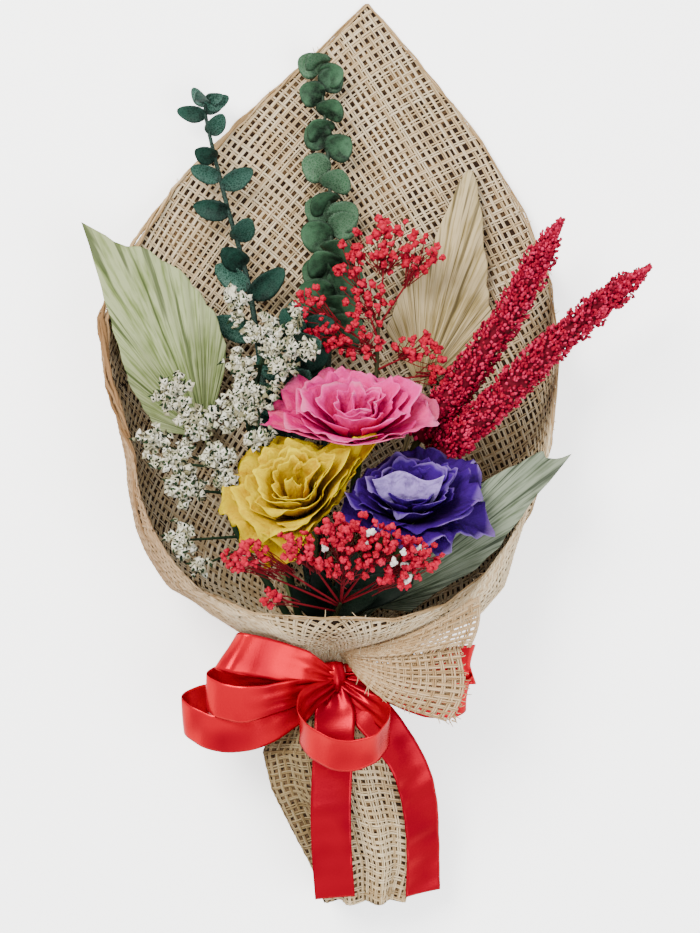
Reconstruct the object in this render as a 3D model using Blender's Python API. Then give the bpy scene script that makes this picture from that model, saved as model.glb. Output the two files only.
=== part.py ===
"""A bouquet of preserved flowers in an open burlap wrap, lying on its back.

The wrap's pointed back sheet lies flat on the table (Z = 0), the stems run along Y towards
the foot, +X is the bouquet's right as seen from above and +Z points away from the table.
Lengths below are in millimetres and are turned into metres when a mesh is made.
"""
import math
import random

import bmesh
import bpy
import numpy as np
from mathutils import Vector

# Whole bouquet: from the drawing's origin to the middle of the bounding box, on the table
CENTRE_X = -1.8
CENTRE_Y = 3.0

# Waist: where the ribbon gathers the wrap round the stems
WAIST_X = -22.0
WAIST_Z = 20.0
WAIST_RADIUS = 13.4
WAIST_TOP_Y = -104.0
WAIST_LOW_Y = -116.0

# Burlap
CLOTH_THICK = 1.2
FOLD_COUNT = 8

# Ribbon
RIBBON_WIDTH = 20.0
RIBBON_THICK = 0.8
KNOT = (-18.5, -111.0, 41.6)

# Faces of a fused body that lie flatter than this to each other are merged
FLAT_ANGLE = math.radians(0.3)

# Stems in the bunch: close hexagonal packing round the waist's centre
STEM_PITCH = 5.0
FOOT_Y = -216.0

# Sections of the wrap across Y: y, middle x, half width, underside z, height
SECTIONS = (
    (-226.0, -3.0, 20.0, 0.0, 29.0),
    (-206.0, -4.0, 26.0, 0.0, 36.0),
    (-186.0, -9.5, 31.0, 0.0, 42.0),
    (-167.0, -16.5, 34.0, 0.0, 45.0),
    (-149.0, -21.0, 34.0, 0.0, 43.0),
    (-132.0, -22.5, 23.0, 2.0, 35.0),
    (WAIST_LOW_Y, WAIST_X, WAIST_RADIUS, WAIST_Z - WAIST_RADIUS, 2 * WAIST_RADIUS),
    (WAIST_TOP_Y, WAIST_X, WAIST_RADIUS, WAIST_Z - WAIST_RADIUS, 2 * WAIST_RADIUS),
    (-99.5, -21.5, 17.0, 4.5, 32.0),
    (-95.5, -20.0, 28.0, 1.5, 48.0),
    (-91.5, -18.5, 43.0, 0.0, 62.0),
    (-87.0, -17.5, 57.0, 0.0, 71.0),
    (-79.0, -17.5, 74.0, 0.0, 77.0),
    (-66.0, -20.0, 87.0, 0.0, 79.0),
    (-48.0, -22.0, 94.0, 0.0, 78.0),
    (-8.0, -21.0, 108.0, 0.0, 72.0),
    (50.0, -19.0, 116.0, 0.0, 60.0),
    (105.0, -17.0, 116.0, 0.0, 50.0),
    (234.0, -14.0, 116.0, 0.0, 40.0),
)

# Edge of the wrap, seen from above, anticlockwise from the point: share of the way round
# (minus is left, plus or minus 1 is the front), x, y, z
RIM = (
    (0.06, -1.5, 233.0, 0.0),
    (-0.03, -25.5, 209.5, 0.0),
    (-0.17, -69.0, 170.5, 0.0),
    (-0.29, -101.5, 136.0, 6.0),
    (-0.38, -121.0, 106.0, 17.0),
    (-0.50, -134.0, 68.0, 40.0),
    (-0.59, -130.0, 30.0, 50.0),
    (-0.66, -123.0, -8.0, 55.0),
    (-0.73, -114.0, -40.0, 60.0),
    (-0.81, -88.0, -67.0, 67.0),
    (-0.89, -60.0, -77.0, 74.0),
    (-0.97, -25.0, -80.0, 77.5),
    (0.92, 11.0, -80.0, 76.5),
    (0.84, 36.0, -73.0, 66.0),
    (0.76, 61.0, -56.0, 50.0),
    (0.67, 79.0, -28.0, 43.0),
    (0.58, 90.0, 6.0, 38.0),
    (0.49, 95.0, 50.0, 28.0),
    (0.42, 92.0, 88.0, 13.0),
    (0.35, 79.5, 123.5, 5.0),
    (0.26, 57.0, 162.0, 2.0),
    (0.15, 24.0, 203.5, 0.0),
)

COLOURS = {
    "burlap": (0.60, 0.48, 0.33, 0.9),
    "ribbon": (0.75, 0.01, 0.01, 0.3),
    "pink": (0.85, 0.20, 0.40, 0.6),
    "yellow": (0.72, 0.52, 0.02, 0.6),
    "purple": (0.09, 0.03, 0.35, 0.6),
    "stem": (0.07, 0.12, 0.05, 0.7),
    "palm_pale": (0.42, 0.48, 0.28, 0.8),
    "palm_tan": (0.45, 0.38, 0.20, 0.8),
    "palm_grey": (0.25, 0.32, 0.22, 0.8),
    "eucalyptus": (0.03, 0.14, 0.08, 0.6),
    "statice": (0.75, 0.74, 0.62, 0.9),
    "gypsophila": (0.75, 0.03, 0.05, 0.8),
    "amaranth": (0.45, 0.01, 0.06, 0.9),
}


def clear_scene():
    for item in list(bpy.data.objects):
        bpy.data.objects.remove(item, do_unlink=True)


def material(name):
    """One plain finish: base colour and roughness."""
    found = bpy.data.materials.get(name)
    if found:
        return found
    made = bpy.data.materials.new(name)
    made.use_nodes = True
    shader = made.node_tree.nodes["Principled BSDF"]
    red, green, blue, rough = COLOURS[name]
    shader.inputs["Base Color"].default_value = (red, green, blue, 1.0)
    shader.inputs["Roughness"].default_value = rough
    shader.inputs["Metallic"].default_value = 0.0
    return made


def add_object(name, piece, finish):
    """Make an object from a piece, which is points in millimetres and faces."""
    points, faces = piece
    shift = Vector((CENTRE_X, CENTRE_Y, 0.0))
    mesh = bpy.data.meshes.new(name)
    moved = [(Vector(point) - shift) * 0.001 for point in points]
    mesh.from_pydata(moved, [], faces)
    shape = bmesh.new()
    shape.from_mesh(mesh)
    bmesh.ops.triangulate(shape, faces=[face for face in shape.faces if len(face.verts) > 4])
    bmesh.ops.recalc_face_normals(shape, faces=shape.faces)
    shape.to_mesh(mesh)
    shape.free()
    made = bpy.data.objects.new(name, mesh)
    bpy.context.scene.collection.objects.link(made)
    made.data.materials.append(material(finish))
    return made


def keep_main_body(mesh):
    """Keep the largest closed body: sealed hollows and loose scraps go."""
    shape = bmesh.new()
    shape.from_mesh(mesh)
    bmesh.ops.triangulate(shape, faces=shape.faces)
    left = set(shape.faces)
    bodies = []
    while left:
        seed = left.pop()
        body = [seed]
        queue = [seed]
        while queue:
            face = queue.pop()
            for edge in face.edges:
                for other in edge.link_faces:
                    if other in left:
                        left.remove(other)
                        body.append(other)
                        queue.append(other)
        bodies.append(body)

    def volume(body):
        total = 0.0
        for face in body:
            a, b, c = (vert.co for vert in face.verts)
            total += a.dot(b.cross(c)) / 6.0
        return total

    bodies.sort(key=volume)
    for body in bodies[:-1]:
        bmesh.ops.delete(shape, geom=body, context="FACES")
    bmesh.ops.dissolve_limit(shape, angle_limit=FLAT_ANGLE, verts=shape.verts, edges=shape.edges)
    bmesh.ops.triangulate(shape, faces=shape.faces)
    shape.to_mesh(mesh)
    shape.free()


def fuse(name, pieces, finish, solver="EXACT"):
    """Join a node's pieces with one Boolean union on a collection."""
    base = add_object(name, pieces[0], finish)
    group = bpy.data.collections.new(name + "_repeats")
    bpy.context.scene.collection.children.link(group)
    for number, piece in enumerate(pieces[1:]):
        part = add_object(f"{name}_repeat{number}", piece, finish)
        bpy.context.scene.collection.objects.unlink(part)
        group.objects.link(part)
    union = base.modifiers.new("union", "BOOLEAN")
    union.operation = "UNION"
    union.operand_type = "COLLECTION"
    union.collection = group
    union.solver = solver
    view = bpy.context.evaluated_depsgraph_get()
    joined = bpy.data.meshes.new_from_object(base.evaluated_get(view))
    base.modifiers.clear()
    base.data = joined
    for part in list(group.objects):
        bpy.data.objects.remove(part, do_unlink=True)
    bpy.data.collections.remove(group)
    keep_main_body(joined)
    return base


def unit(vector):
    vector = np.asarray(vector, float)
    return vector / np.linalg.norm(vector)


def smooth_path(points, count):
    """Catmull-Rom curve through the points, at even shares of its parameter."""
    points = np.asarray(points, float)
    ends = np.vstack([2 * points[0] - points[1], points, 2 * points[-1] - points[-2]])
    share = np.linspace(0, len(points) - 1, count)
    start = np.minimum(share.astype(int), len(points) - 2)
    t = (share - start)[:, None]
    a, b, c, d = (ends[start + offset] for offset in range(4))
    return 0.5 * (2 * b + (c - a) * t + (2 * a - 5 * b + 4 * c - d) * t ** 2
                  + (3 * b - a - 3 * c + d) * t ** 3)


def tube(points, radii, sides):
    """Round rod along the points, closed at both ends."""
    points = np.asarray(points, float)
    radii = np.broadcast_to(radii, len(points))
    tangents = np.gradient(points, axis=0)
    side = np.cross(tangents[0], (0.31, 0.11, 0.94))
    rings = []
    for point, tangent, radius in zip(points, tangents, radii):
        along = unit(tangent)
        side = unit(side - along * np.dot(side, along))
        up = np.cross(along, side)
        turn = np.arange(sides) * 2 * math.pi / sides
        rings.append(point + radius * (np.outer(np.cos(turn), side) + np.outer(np.sin(turn), up)))
    verts = np.vstack(rings)
    faces = []
    for ring in range(len(points) - 1):
        for corner in range(sides):
            a = ring * sides + corner
            b = ring * sides + (corner + 1) % sides
            faces.append((a, b, b + sides, a + sides))
    faces.append(tuple(range(sides))[::-1])
    last = (len(points) - 1) * sides
    faces.append(tuple(range(last, last + sides)))
    return verts.tolist(), faces


def slab(front, back, ring=False):
    """Thin body between two grids of points, cut into triangles alike on both faces."""
    rows, columns = front.shape[:2]
    verts = np.vstack([front.reshape(-1, 3), back.reshape(-1, 3)]).tolist()
    under = rows * columns
    faces = []
    steps = columns if ring else columns - 1
    for row in range(rows - 1):
        for column in range(steps):
            a = row * columns + column
            b = row * columns + (column + 1) % columns
            c, d = b + columns, a + columns
            faces += [(a, b, c), (a, c, d)]
            faces += [(under + a, under + c, under + b), (under + a, under + d, under + c)]
    for row in (0, rows - 1):
        for column in range(steps):
            a = row * columns + column
            b = row * columns + (column + 1) % columns
            faces += [(a, b, under + b), (a, under + b, under + a)]
    if not ring:
        for row in range(rows - 1):
            for column in (0, columns - 1):
                a = row * columns + column
                b = a + columns
                faces += [(a, b, under + b), (a, under + b, under + a)]
    return verts, faces


def thicken(middle, thickness, ring=False):
    """Give a grid of points a thickness along its own normals."""
    along = np.gradient(middle, axis=0)
    if ring:
        across = np.roll(middle, -1, axis=1) - np.roll(middle, 1, axis=1)
    else:
        across = np.gradient(middle, axis=1)
    normal = np.cross(across, along)
    length = np.linalg.norm(normal, axis=2, keepdims=True)
    normal = normal / np.maximum(length, 1e-9)
    return middle + normal * thickness / 2, middle - normal * thickness / 2


def section_point(y, share):
    """Point of the wrap's closed section at y: a flat bottomed oval walked from below."""
    table = np.array(SECTIONS)
    middle, half, under, height = (np.interp(y, table[:, 0], table[:, k]) for k in (1, 2, 3, 4))
    radius = min(half, height / 2)
    flat = half - radius
    wall = height - 2 * radius
    corner = radius * math.pi / 2
    way = abs(share) * (2 * flat + 2 * corner + wall)
    if way <= flat:
        x, z = way, 0.0
    elif way <= flat + corner:
        turn = (way - flat) / radius
        x, z = flat + radius * math.sin(turn), radius - radius * math.cos(turn)
    elif way <= flat + corner + wall:
        x, z = half, radius + way - flat - corner
    elif way <= flat + 2 * corner + wall:
        turn = (way - flat - corner - wall) / radius
        x, z = flat + radius * math.cos(turn), height - radius + radius * math.sin(turn)
    else:
        x, z = 2 * flat + 2 * corner + wall - way, height
    return np.array((middle + math.copysign(x, share), y, under + z))


def rim_point(share):
    """Point of the wrap's free edge at a share of the way round."""
    table = np.array(sorted(RIM))
    wide = np.vstack([table[-1] - (2, 0, 0, 0), table, table[0] + (2, 0, 0, 0)])
    return np.array([np.interp(share, wide[:, 0], wide[:, k]) for k in (1, 2, 3)])


def wrap_point(share, rise):
    """Wrap above the waist: rise 0 is the waist and 1 the free edge."""
    rim = rim_point(share)
    y = WAIST_TOP_Y + rise * (rim[1] - WAIST_TOP_Y)
    pull = rim - section_point(rim[1], share)
    return section_point(y, share) + pull * rise ** 2


def fold_depth(y):
    """How far the gathers stand in and out at y."""
    return float(np.interp(y, (-224, -150, -122, -114, -104, -92, -60), (2.5, 2.5, 1, 0, 0, 1.2, 0)))


def wrap_columns():
    """Shares of the way round at which the wrap has a column of points."""
    keys = sorted(row[0] for row in RIM)
    between = [(a + b) / 2 for a, b in zip(keys, keys[1:]) if b - a > 0.095]
    return sorted(keys + between)


def make_wrap():
    """Burlap sheet gathered at the waist, with its foot and the free corner fused on."""
    columns = wrap_columns()
    foot = [row[0] for row in SECTIONS if row[0] < WAIST_TOP_Y]
    rises = (0.0, 0.03, 0.07, 0.12, 0.19, 0.29, 0.42, 0.58, 0.78, 1.0)
    grid = [[section_point(y, share) for share in columns] for y in foot]
    for rise in rises:
        grid.append([wrap_point(share, rise ** (1 - 0.45 * abs(share) ** 3)) for share in columns])
    middle = np.array(grid)
    inner, outer = thicken(middle, 1.0, ring=True)
    inward = inner - outer
    for column, share in enumerate(columns):
        wave = math.cos(share * math.pi * FOLD_COUNT)
        for row in range(len(grid)):
            depth = wave * fold_depth(middle[row, column, 1])
            middle[row, column] += inward[row, column] * depth
    middle[:, :, 2] += CLOTH_THICK / 2
    inner, outer = thicken(middle, CLOTH_THICK, ring=True)
    outer[:, :, 2] = np.maximum(outer[:, :, 2], 0.0)
    inner[:, :, 2] = np.maximum(inner[:, :, 2], CLOTH_THICK)
    return fuse("burlap_wrap", [slab(outer, inner, ring=True), corner_flap()], "burlap")


def corner_flap():
    """Free corner of the sheet, which comes out at the waist and spreads to the right."""
    top = smooth_path([(-18, -99, 34), (-6, -99, 49), (14, -98, 60), (46, -93, 66)], 6)
    low = smooth_path([(-13, -103, 32.5), (-5, -111, 53), (10, -123, 62), (37, -135, 64)], 6)
    bulge = np.array((5.0, -2.0, 2.0))
    rows = []
    for share in np.linspace(0, 1, 5):
        line = top + (low - top) * share
        swell = math.sin(math.pi * share) * np.linspace(0, 1, 6)[:, None]
        rows.append(line + swell * bulge)
    front, back = thicken(np.array(rows), CLOTH_THICK)
    return slab(front, back)


def ribbon_strip(centres, widths, halves, count):
    """Ribbon along smoothed centres, its width turned and narrowed along the way."""
    path = smooth_path(centres, count)
    turn = smooth_path(widths, count)
    half = np.interp(np.linspace(0, 1, count), np.linspace(0, 1, len(halves)), halves)
    tangent = np.gradient(path, axis=0)
    turn = turn - tangent * (np.sum(turn * tangent, 1) / np.sum(tangent * tangent, 1))[:, None]
    turn = turn / np.linalg.norm(turn, axis=1, keepdims=True)
    grid = np.stack([path - turn * half[:, None], path + turn * half[:, None]], axis=1)
    front, back = thicken(grid, RIBBON_THICK)
    return slab(front, back)


# Loops and tails of the bow: centre points, width directions, half widths
HALF = RIBBON_WIDTH / 2
LOOPS = {
    "upper": (((-19, -111, 45), (-34, -105, 57), (-52, -99.5, 65), (-64, -97, 67), (-70, -96.5, 63),
               (-70, -98, 58), (-62, -100.5, 54), (-45, -104.5, 50), (-21, -111, 42)),
              ((0.2, 1, 0), (0.35, 0.9, 0), (0.5, 0.86, 0), (0.6, 0.8, 0), (0.6, 0.8, 0), (0.6, 0.8, 0),
               (0.6, 0.8, 0), (0.4, 0.9, 0), (0.2, 1, 0)),
              (3, 9, HALF, HALF, HALF, HALF, HALF, 8, 3), 14),
    "middle": (((-21, -112.5, 44), (-40, -118, 58), (-62, -122.5, 62), (-76, -120.5, 57),
                (-81.5, -117, 50), (-74, -113.5, 43.5), (-54, -111.5, 41), (-23, -112, 41)),
               ((0, 1, 0), (0, 0.93, 0.37), (0, 0.93, 0.37), (0, 0.93, 0.37), (0, 0.93, 0.37),
                (0, 0.93, 0.37), (0, 0.97, 0.2), (0, 1, 0)),
               (3, 8, HALF, HALF, HALF, HALF, 8, 3), 12),
    "lower": (((-21, -114, 42), (-37, -126, 48), (-56, -136, 51), (-75, -138.5, 50),
               (-89, -134, 44), (-93.5, -129, 37), (-84, -124.5, 32), (-60, -121, 33),
               (-24, -114, 39)),
              ((0.3, 1, 0), (0.3, 0.9, 0.2), (0.1, 0.93, 0.35), (0, 0.93, 0.37), (0, 0.93, 0.37),
               (0, 0.93, 0.37), (0, 0.93, 0.37), (0.1, 0.95, 0.2), (0.3, 1, 0)),
              (3, 9, HALF, HALF, HALF, HALF, HALF, 8, 3), 13),
    "middle_front": (((-19, -114, 46), (-32, -122, 60), (-35, -133, 72), (-25, -142, 80),
                      (-12, -145.5, 82), (2, -142, 78), (9, -133, 64), (3, -126, 51),
                      (-15, -114, 43.5)),
                     ((-0.6, 0.8, 0.2), (-0.2, 0.85, 0.5), (0, 0.8, 0.6), (0, 0.8, 0.6),
                      (0, 0.8, 0.6), (0, 0.8, 0.6), (0, 0.8, 0.6), (0.2, 0.85, 0.5),
                      (0.6, 0.8, 0.2)),
                     (3, 8, HALF, HALF, HALF, HALF, HALF, 8, 3), 14),
    "right": (((-16, -112, 42), (6, -114, 43), (30, -117, 46), (46, -117.5, 44),
               (49.5, -115.5, 38), (44, -113.5, 33), (22, -112.5, 31), (-13, -112, 37.5)),
              ((0, 1, 0), (0, 0.93, 0.37), (0, 0.93, 0.37), (0, 0.93, 0.37), (0, 0.93, 0.37),
               (0, 0.93, 0.37), (0, 0.95, 0.3), (0, 1, 0)),
              (3, 8, HALF, HALF, HALF, HALF, 8, 3), 12),
    "tail_left": (((-20, -113, 43), (-21, -128, 49), (-20, -150, 52), (-20, -175, 51),
                   (-19.5, -200, 44), (-18, -222, 37)),
                  ((1, 0.1, 0), (1, 0.1, 0), (1, 0, 0), (1, 0, 0), (1, 0, 0), (1, 0.05, 0)),
                  (3, 8, HALF, HALF, HALF, HALF), 9),
    "tail_right": (((-16, -113, 42), (0, -124, 46), (11, -138, 48), (19, -155, 46),
                    (25.5, -172, 39), (29, -190, 32), (30, -207, 27), (30, -222, 23)),
                   ((0.8, 0.5, 0), (0.85, 0.5, -0.1), (0.85, 0.35, -0.35), (0.75, 0.25, -0.6),
                    (0.6, 0.15, -0.78), (0.5, 0.1, -0.86), (0.5, 0.1, -0.86), (0.5, 0.1, -0.86)),
                   (3, 8, HALF, HALF, HALF, HALF, HALF, HALF), 10),
}


def make_bow():
    """Satin ribbon: a band round the waist, and the knot with its loops and tails fused."""
    turn = np.linspace(0, 2 * math.pi, 24, endpoint=False)
    low, high = WAIST_LOW_Y + 1.0, WAIST_TOP_Y - 1.0
    rings = []
    for radius in (WAIST_RADIUS + 2.0, WAIST_RADIUS + 1.2):
        ring = np.stack([WAIST_X + radius * np.sin(turn), 0 * turn,
                         WAIST_Z + CLOTH_THICK / 2 - radius * np.cos(turn)], axis=1)
        rings.append(np.stack([ring + (0, low, 0), ring + (0, high, 0)]))
    add_object("ribbon_band", slab(rings[0], rings[1], ring=True), "ribbon")
    knot_x, knot_y, knot_z = KNOT
    knot = tube([(knot_x, knot_y - 7, knot_z), (knot_x, knot_y - 4, knot_z), (knot_x, knot_y, knot_z),
                 (knot_x, knot_y + 4, knot_z), (knot_x, knot_y + 6, knot_z)],
                (3, 5.5, 5.0, 5.5, 3), 8)
    strips = [ribbon_strip(*loop) for loop in LOOPS.values()]
    fuse("ribbon_bow", [knot] + strips, "ribbon")


def bunch_place(row, column):
    """Place of a stem in the bunch at the waist: row 0 lies lowest, column 0 leftmost."""
    count = 5 - abs(row - 2)
    x = WAIST_X + (column - (count - 1) / 2) * STEM_PITCH
    z = WAIST_Z + CLOTH_THICK / 2 + (row - 2) * STEM_PITCH * math.sqrt(0.75)
    return x, z


def bunch_path(row, column, onward, count, trim=0.0):
    """Stem route: its cut end in the foot, straight through the waist, then through onward."""
    x, z = bunch_place(row, column)
    free = smooth_path([(x, WAIST_TOP_Y + 2, z)] + list(onward), count)
    return [(x + 13, FOOT_Y + trim, z - 2), (x, WAIST_LOW_Y, z)] + [tuple(spot) for spot in free]


def stem_tube(row, column, onward, radius, tip_radius, sides=5, count=8):
    """Stem of a flower, full width in the bunch and tapering beyond the waist."""
    points = bunch_path(row, column, onward, count)
    radii = [radius, radius] + list(np.linspace(radius, tip_radius, count))
    return tube(points, radii, sides)


# Roses: place in the bunch, cup base, axis, radius, petals' first turn
ROSES = {
    "pink": ((2, 2), (-8.0, 4.0, 50.0), (0.0, 0.82, 0.57), 41.0, 3.0),
    "yellow": ((3, 1), (-34.0, -29.0, 60.0), (-0.2, 0.42, 0.88), 38.0, 4.3),
    "purple": ((3, 3), (17.0, -33.0, 59.0), (0.08, 0.60, 0.80), 36.0, 5.5),
}
# Faces where neighbouring blooms press on each other: point, direction into the bloom
PRESSED = {
    "pink": (((-30.0, 9.0, 70.0), (0.31, 0.95, 0.0)), ((10.0, 9.0, 70.0), (-0.26, 0.96, 0.0))),
    "yellow": (((-30.0, 8.0, 70.0), (-0.31, -0.95, 0.0)), ((-10.0, -20.0, 75.0), (-0.84, 0.37, -0.3))),
    "purple": (((10.0, 8.0, 70.0), (0.26, -0.96, 0.0)), ((-9.0, -20.0, 75.0), (0.84, -0.37, 0.3))),
}
PETALS = 9
PETAL_THICK = 0.9
GOLDEN_TURN = math.radians(137.5)


def press(points, faces, softness=4.0):
    """Push points softly to the inner side of each pressed face."""
    for origin, inward in faces:
        inward = unit(inward)
        depth = (points - np.array(origin)) @ inward
        held = softness * np.log1p(np.exp(np.clip(depth / softness, -30, 30)))
        held = np.where(depth / softness > 30, depth, held)
        points = points + (held - depth)[..., None] * inward
    return points


def petal_grid(radius, shell, turn, rows, columns):
    """Rose petal on a nested cup: shell 0 is the heart and 1 the outermost cup.

    The petal leans from the axis by an angle that grows along its length, its half width is
    an angle about the axis, and its rim is rounded and ruffled. X is across, Z the axis.
    """
    rise = np.linspace(0, 1, rows)[:, None]
    across = np.linspace(-1, 1, columns)[None, :]
    rise = rise * (1 - 0.22 * np.abs(across) ** 3)
    first = math.radians(12 + 50 * shell)
    last = math.radians(-12 + 118 * shell ** 0.8)
    length = radius * (0.68 + 0.17 * shell)
    out = np.zeros_like(rise)
    up = np.zeros_like(rise)
    steps = 12
    for step in range(steps):
        lean = first + (last - first) * (rise * (step + 0.5) / steps) ** 1.6
        out += np.sin(lean) * rise * length / steps
        up += np.cos(lean) * rise * length / steps
    out += radius * (0.05 + 0.12 * shell)
    up += radius * 0.05
    half = min(1.7, 0.42 / (0.16 + 0.55 * shell) + 0.28)
    angle = turn + across * half * (0.72 + 0.28 * rise)
    ruffle = radius * 0.018 * rise ** 3 * np.sin(across * 7 + turn * 5)
    up = up + ruffle * 1.6 + radius * 0.02 * rise ** 2 * np.cos(across * 3 + turn)
    out = out + ruffle
    return np.stack([out * np.cos(angle), out * np.sin(angle), up], axis=2)


def to_axis(points, base, axis):
    """Carry points from the bloom's own frame to its place."""
    axis = unit(axis)
    side = unit(np.cross((0, 1, 0.2), axis))
    front = np.cross(axis, side)
    return np.array(base) + points @ np.array([side, front, axis])


def make_rose(colour):
    """A rose: its stem with the calyx, and the bloom's petals fused round a small heart."""
    place, base, axis, radius, first_turn = ROSES[colour]
    base = np.array(base)
    axis = unit(axis)
    neck = [tuple(base - axis * back) for back in (22, 5.4)]
    points = bunch_path(*place, neck, 5)
    points += [tuple(base - axis * 3.2), tuple(base - axis * 0.3)]
    radii = [2.3] * (len(points) - 3) + [2.6, 5.4, 6.6]
    add_object(f"rose_stem_{colour}", tube(points, radii, 7), "stem")

    pieces = []
    heart = [base + axis * radius * part for part in (0.0, 0.07, 0.19, 0.27)]
    pieces.append(tube(heart, [radius * part for part in (0.15, 0.25, 0.24, 0.12)], 7))
    bud = [base + axis * radius * part for part in (0.12, 0.36, 0.58, 0.68)]
    pieces.append(tube(bud, [radius * part for part in (0.09, 0.13, 0.12, 0.05)], 6))
    for number in range(PETALS):
        shell = 0.18 + 0.82 * number / (PETALS - 1)
        turn = first_turn + number * GOLDEN_TURN
        middle = petal_grid(radius, shell, turn, 4, 5 if shell < 0.6 else 6)
        middle = press(to_axis(middle, base, axis), PRESSED[colour])
        pieces.append(slab(*thicken(middle, PETAL_THICK)))
    fuse(f"rose_bloom_{colour}", pieces, colour, "MANIFOLD")


# Palm spears: leaf base, outline seen from above from left to right, height rule, pleats.
# The height rule is z at the base, then rise per mm along X and along Y.
PALMS = {
    "palm_spear_left": {
        "base": (-84.0, 9.0),
        "outline": ((-104, 14), (-119, 41), (-125, 60), (-130, 83), (-141, 112), (-125, 104),
                    (-114, 103), (-102, 96), (-88, 83), (-77, 67), (-73, 54), (-74, 42), (-78, 28)),
        "height": (24.0, -0.28, 0.05), "pleats": 10, "finish": "palm_pale",
        "place": (1, 0), "onward": ((-45, -60, 15), (-66, -22, 19)),
    },
    "palm_spear_upper_right": {
        "base": (26.0, 34.0),
        "outline": ((7, 66), (15, 84), (27, 101), (35, 117), (45, 140), (50, 146), (55, 139),
                    (58, 112), (61, 86), (63, 71), (56, 56)),
        "height": (7.5, 0.02, 0.01), "pleats": 10, "finish": "palm_tan",
        "place": (0, 2), "onward": ((-5, -60, 7), (12, -15, 6)),
    },
    "palm_spear_lower_right": {
        "base": (2.0, -76.0),
        "outline": ((30, -34), (58, -10), (76, -1), (84, 3), (93, -1), (99, 1), (88, -14), (80, -24),
                    (65, -45), (51, -57), (34, -67), (20, -78)),
        "height": (45.0, 0.13, 0.05), "pleats": 10, "finish": "palm_grey",
        "place": (4, 2), "onward": ((-11, -89, 36),),
    },
}


def outline_reach(outline, base, angle):
    """Distance from the base to a closed outline in the direction of the angle."""
    heading = np.array((math.cos(angle), math.sin(angle)))
    best = 0.0
    ends = [np.array(point, float) - base for point in outline]
    for a, b in zip(ends, ends[1:]):
        edge = b - a
        spread = heading[0] * edge[1] - heading[1] * edge[0]
        if abs(spread) < 1e-9:
            continue
        share = (heading[1] * a[0] - heading[0] * a[1]) / spread
        far = (a[0] * edge[1] - a[1] * edge[0]) / spread
        if -0.001 <= share <= 1.001 and far > best:
            best = far
    return best


def make_palm(name):
    """Palm leaf cut to a spear: pleats fan out from the stalk to the trimmed edge."""
    leaf = PALMS[name]
    base = np.array(leaf["base"])
    first, last = (np.array(leaf["outline"][k], float) - base for k in (0, -1))
    start = math.atan2(first[1], first[0])
    end = math.atan2(last[1], last[0])
    if end > start:
        end -= 2 * math.pi
    z_base, slope_x, slope_y = leaf["height"]
    rays = 2 * leaf["pleats"] + 1
    rows = []
    for share in (0.06, 0.22, 0.45, 0.72, 1.0):
        line = []
        for ray in range(rays):
            angle = start + (end - start) * (ray + 0.02) / (rays - 0.96)
            reach = max(outline_reach(leaf["outline"], base, angle), 8.0)
            flat = base + reach * share * np.array((math.cos(angle), math.sin(angle)))
            offset = flat - base
            z = z_base + slope_x * offset[0] + slope_y * offset[1]
            z += (1 if ray % 2 else -1) * min(1.5, 0.04 * reach * share)
            line.append((flat[0], flat[1], z))
        rows.append(line)
    middle = np.array(rows)
    front, back = middle + (0, 0, 0.5), middle - (0, 0, 0.5)
    root = (base[0], base[1], z_base)
    tip = np.array(rows[1])[rays // 2]
    stalk = stem_tube(*leaf["place"], list(leaf["onward"]) + [root, tuple(tip)], 2.2, 0.9, count=8)
    fuse(name, [slab(front, back), stalk], leaf["finish"])


def leaf_piece(root, heading, face, length, width, thick=0.7, cup=0.12, sides=6):
    """Leaf as a thin cupped blade; heading runs from its root to its tip."""
    heading = unit(heading)
    face = unit(np.array(face) - heading * np.dot(face, heading))
    side = np.cross(heading, face)
    ring = []
    for corner in range(sides):
        turn = 2 * math.pi * corner / sides
        along = (1 - math.cos(turn)) / 2 * length
        beside = math.sin(turn) * width / 2
        lift = cup * abs(beside) * 2 - cup * 0.5 * length * (along / length) ** 2
        ring.append(np.array(root) + heading * along + side * beside + face * lift)
    middle = np.array(root) + heading * length * 0.5
    points = []
    for sign in (0.5, -0.5):
        points += [tuple(point + face * thick * sign) for point in ring]
        points.append(tuple(middle + face * thick * sign))
    faces = []
    for corner in range(sides):
        after = (corner + 1) % sides
        faces.append((corner, after, sides))
        faces.append((sides + 1 + after, sides + 1 + corner, 2 * sides + 1))
        faces.append((corner, sides + 1 + corner, sides + 1 + after))
        faces.append((corner, sides + 1 + after, after))
    return points, faces


# Eucalyptus stems: place in the bunch, route, first leaf's share, leaf count, leaf sizes
EUCALYPTUS = {
    "eucalyptus_left": {
        "place": (0, 0), "onward": ((-35, -40, 9), (-52, 20, 9), (-62, 85, 11), (-74, 130, 13),
                                    (-84, 172, 14), (-83, 182, 15)),
        "leaves": 13, "first": 0.44, "sizes": (21.0, 8.0), "seed": 5,
    },
    "eucalyptus_centre": {
        "place": (0, 1), "onward": ((-25, -40, 8), (-28, 40, 7), (-27, 110, 8), (-30, 170, 9),
                                    (-28, 206, 10)),
        "leaves": 22, "first": 0.46, "sizes": (20.0, 11.0), "seed": 8,
    },
    "eucalyptus_low": {
        "place": (1, 1), "onward": ((-34, -50, 17), (-42, 10, 22), (-40, 45, 25), (-33, 66, 27)),
        "leaves": 7, "first": 0.55, "sizes": (20.0, 15.0), "seed": 3,
    },
}


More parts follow.
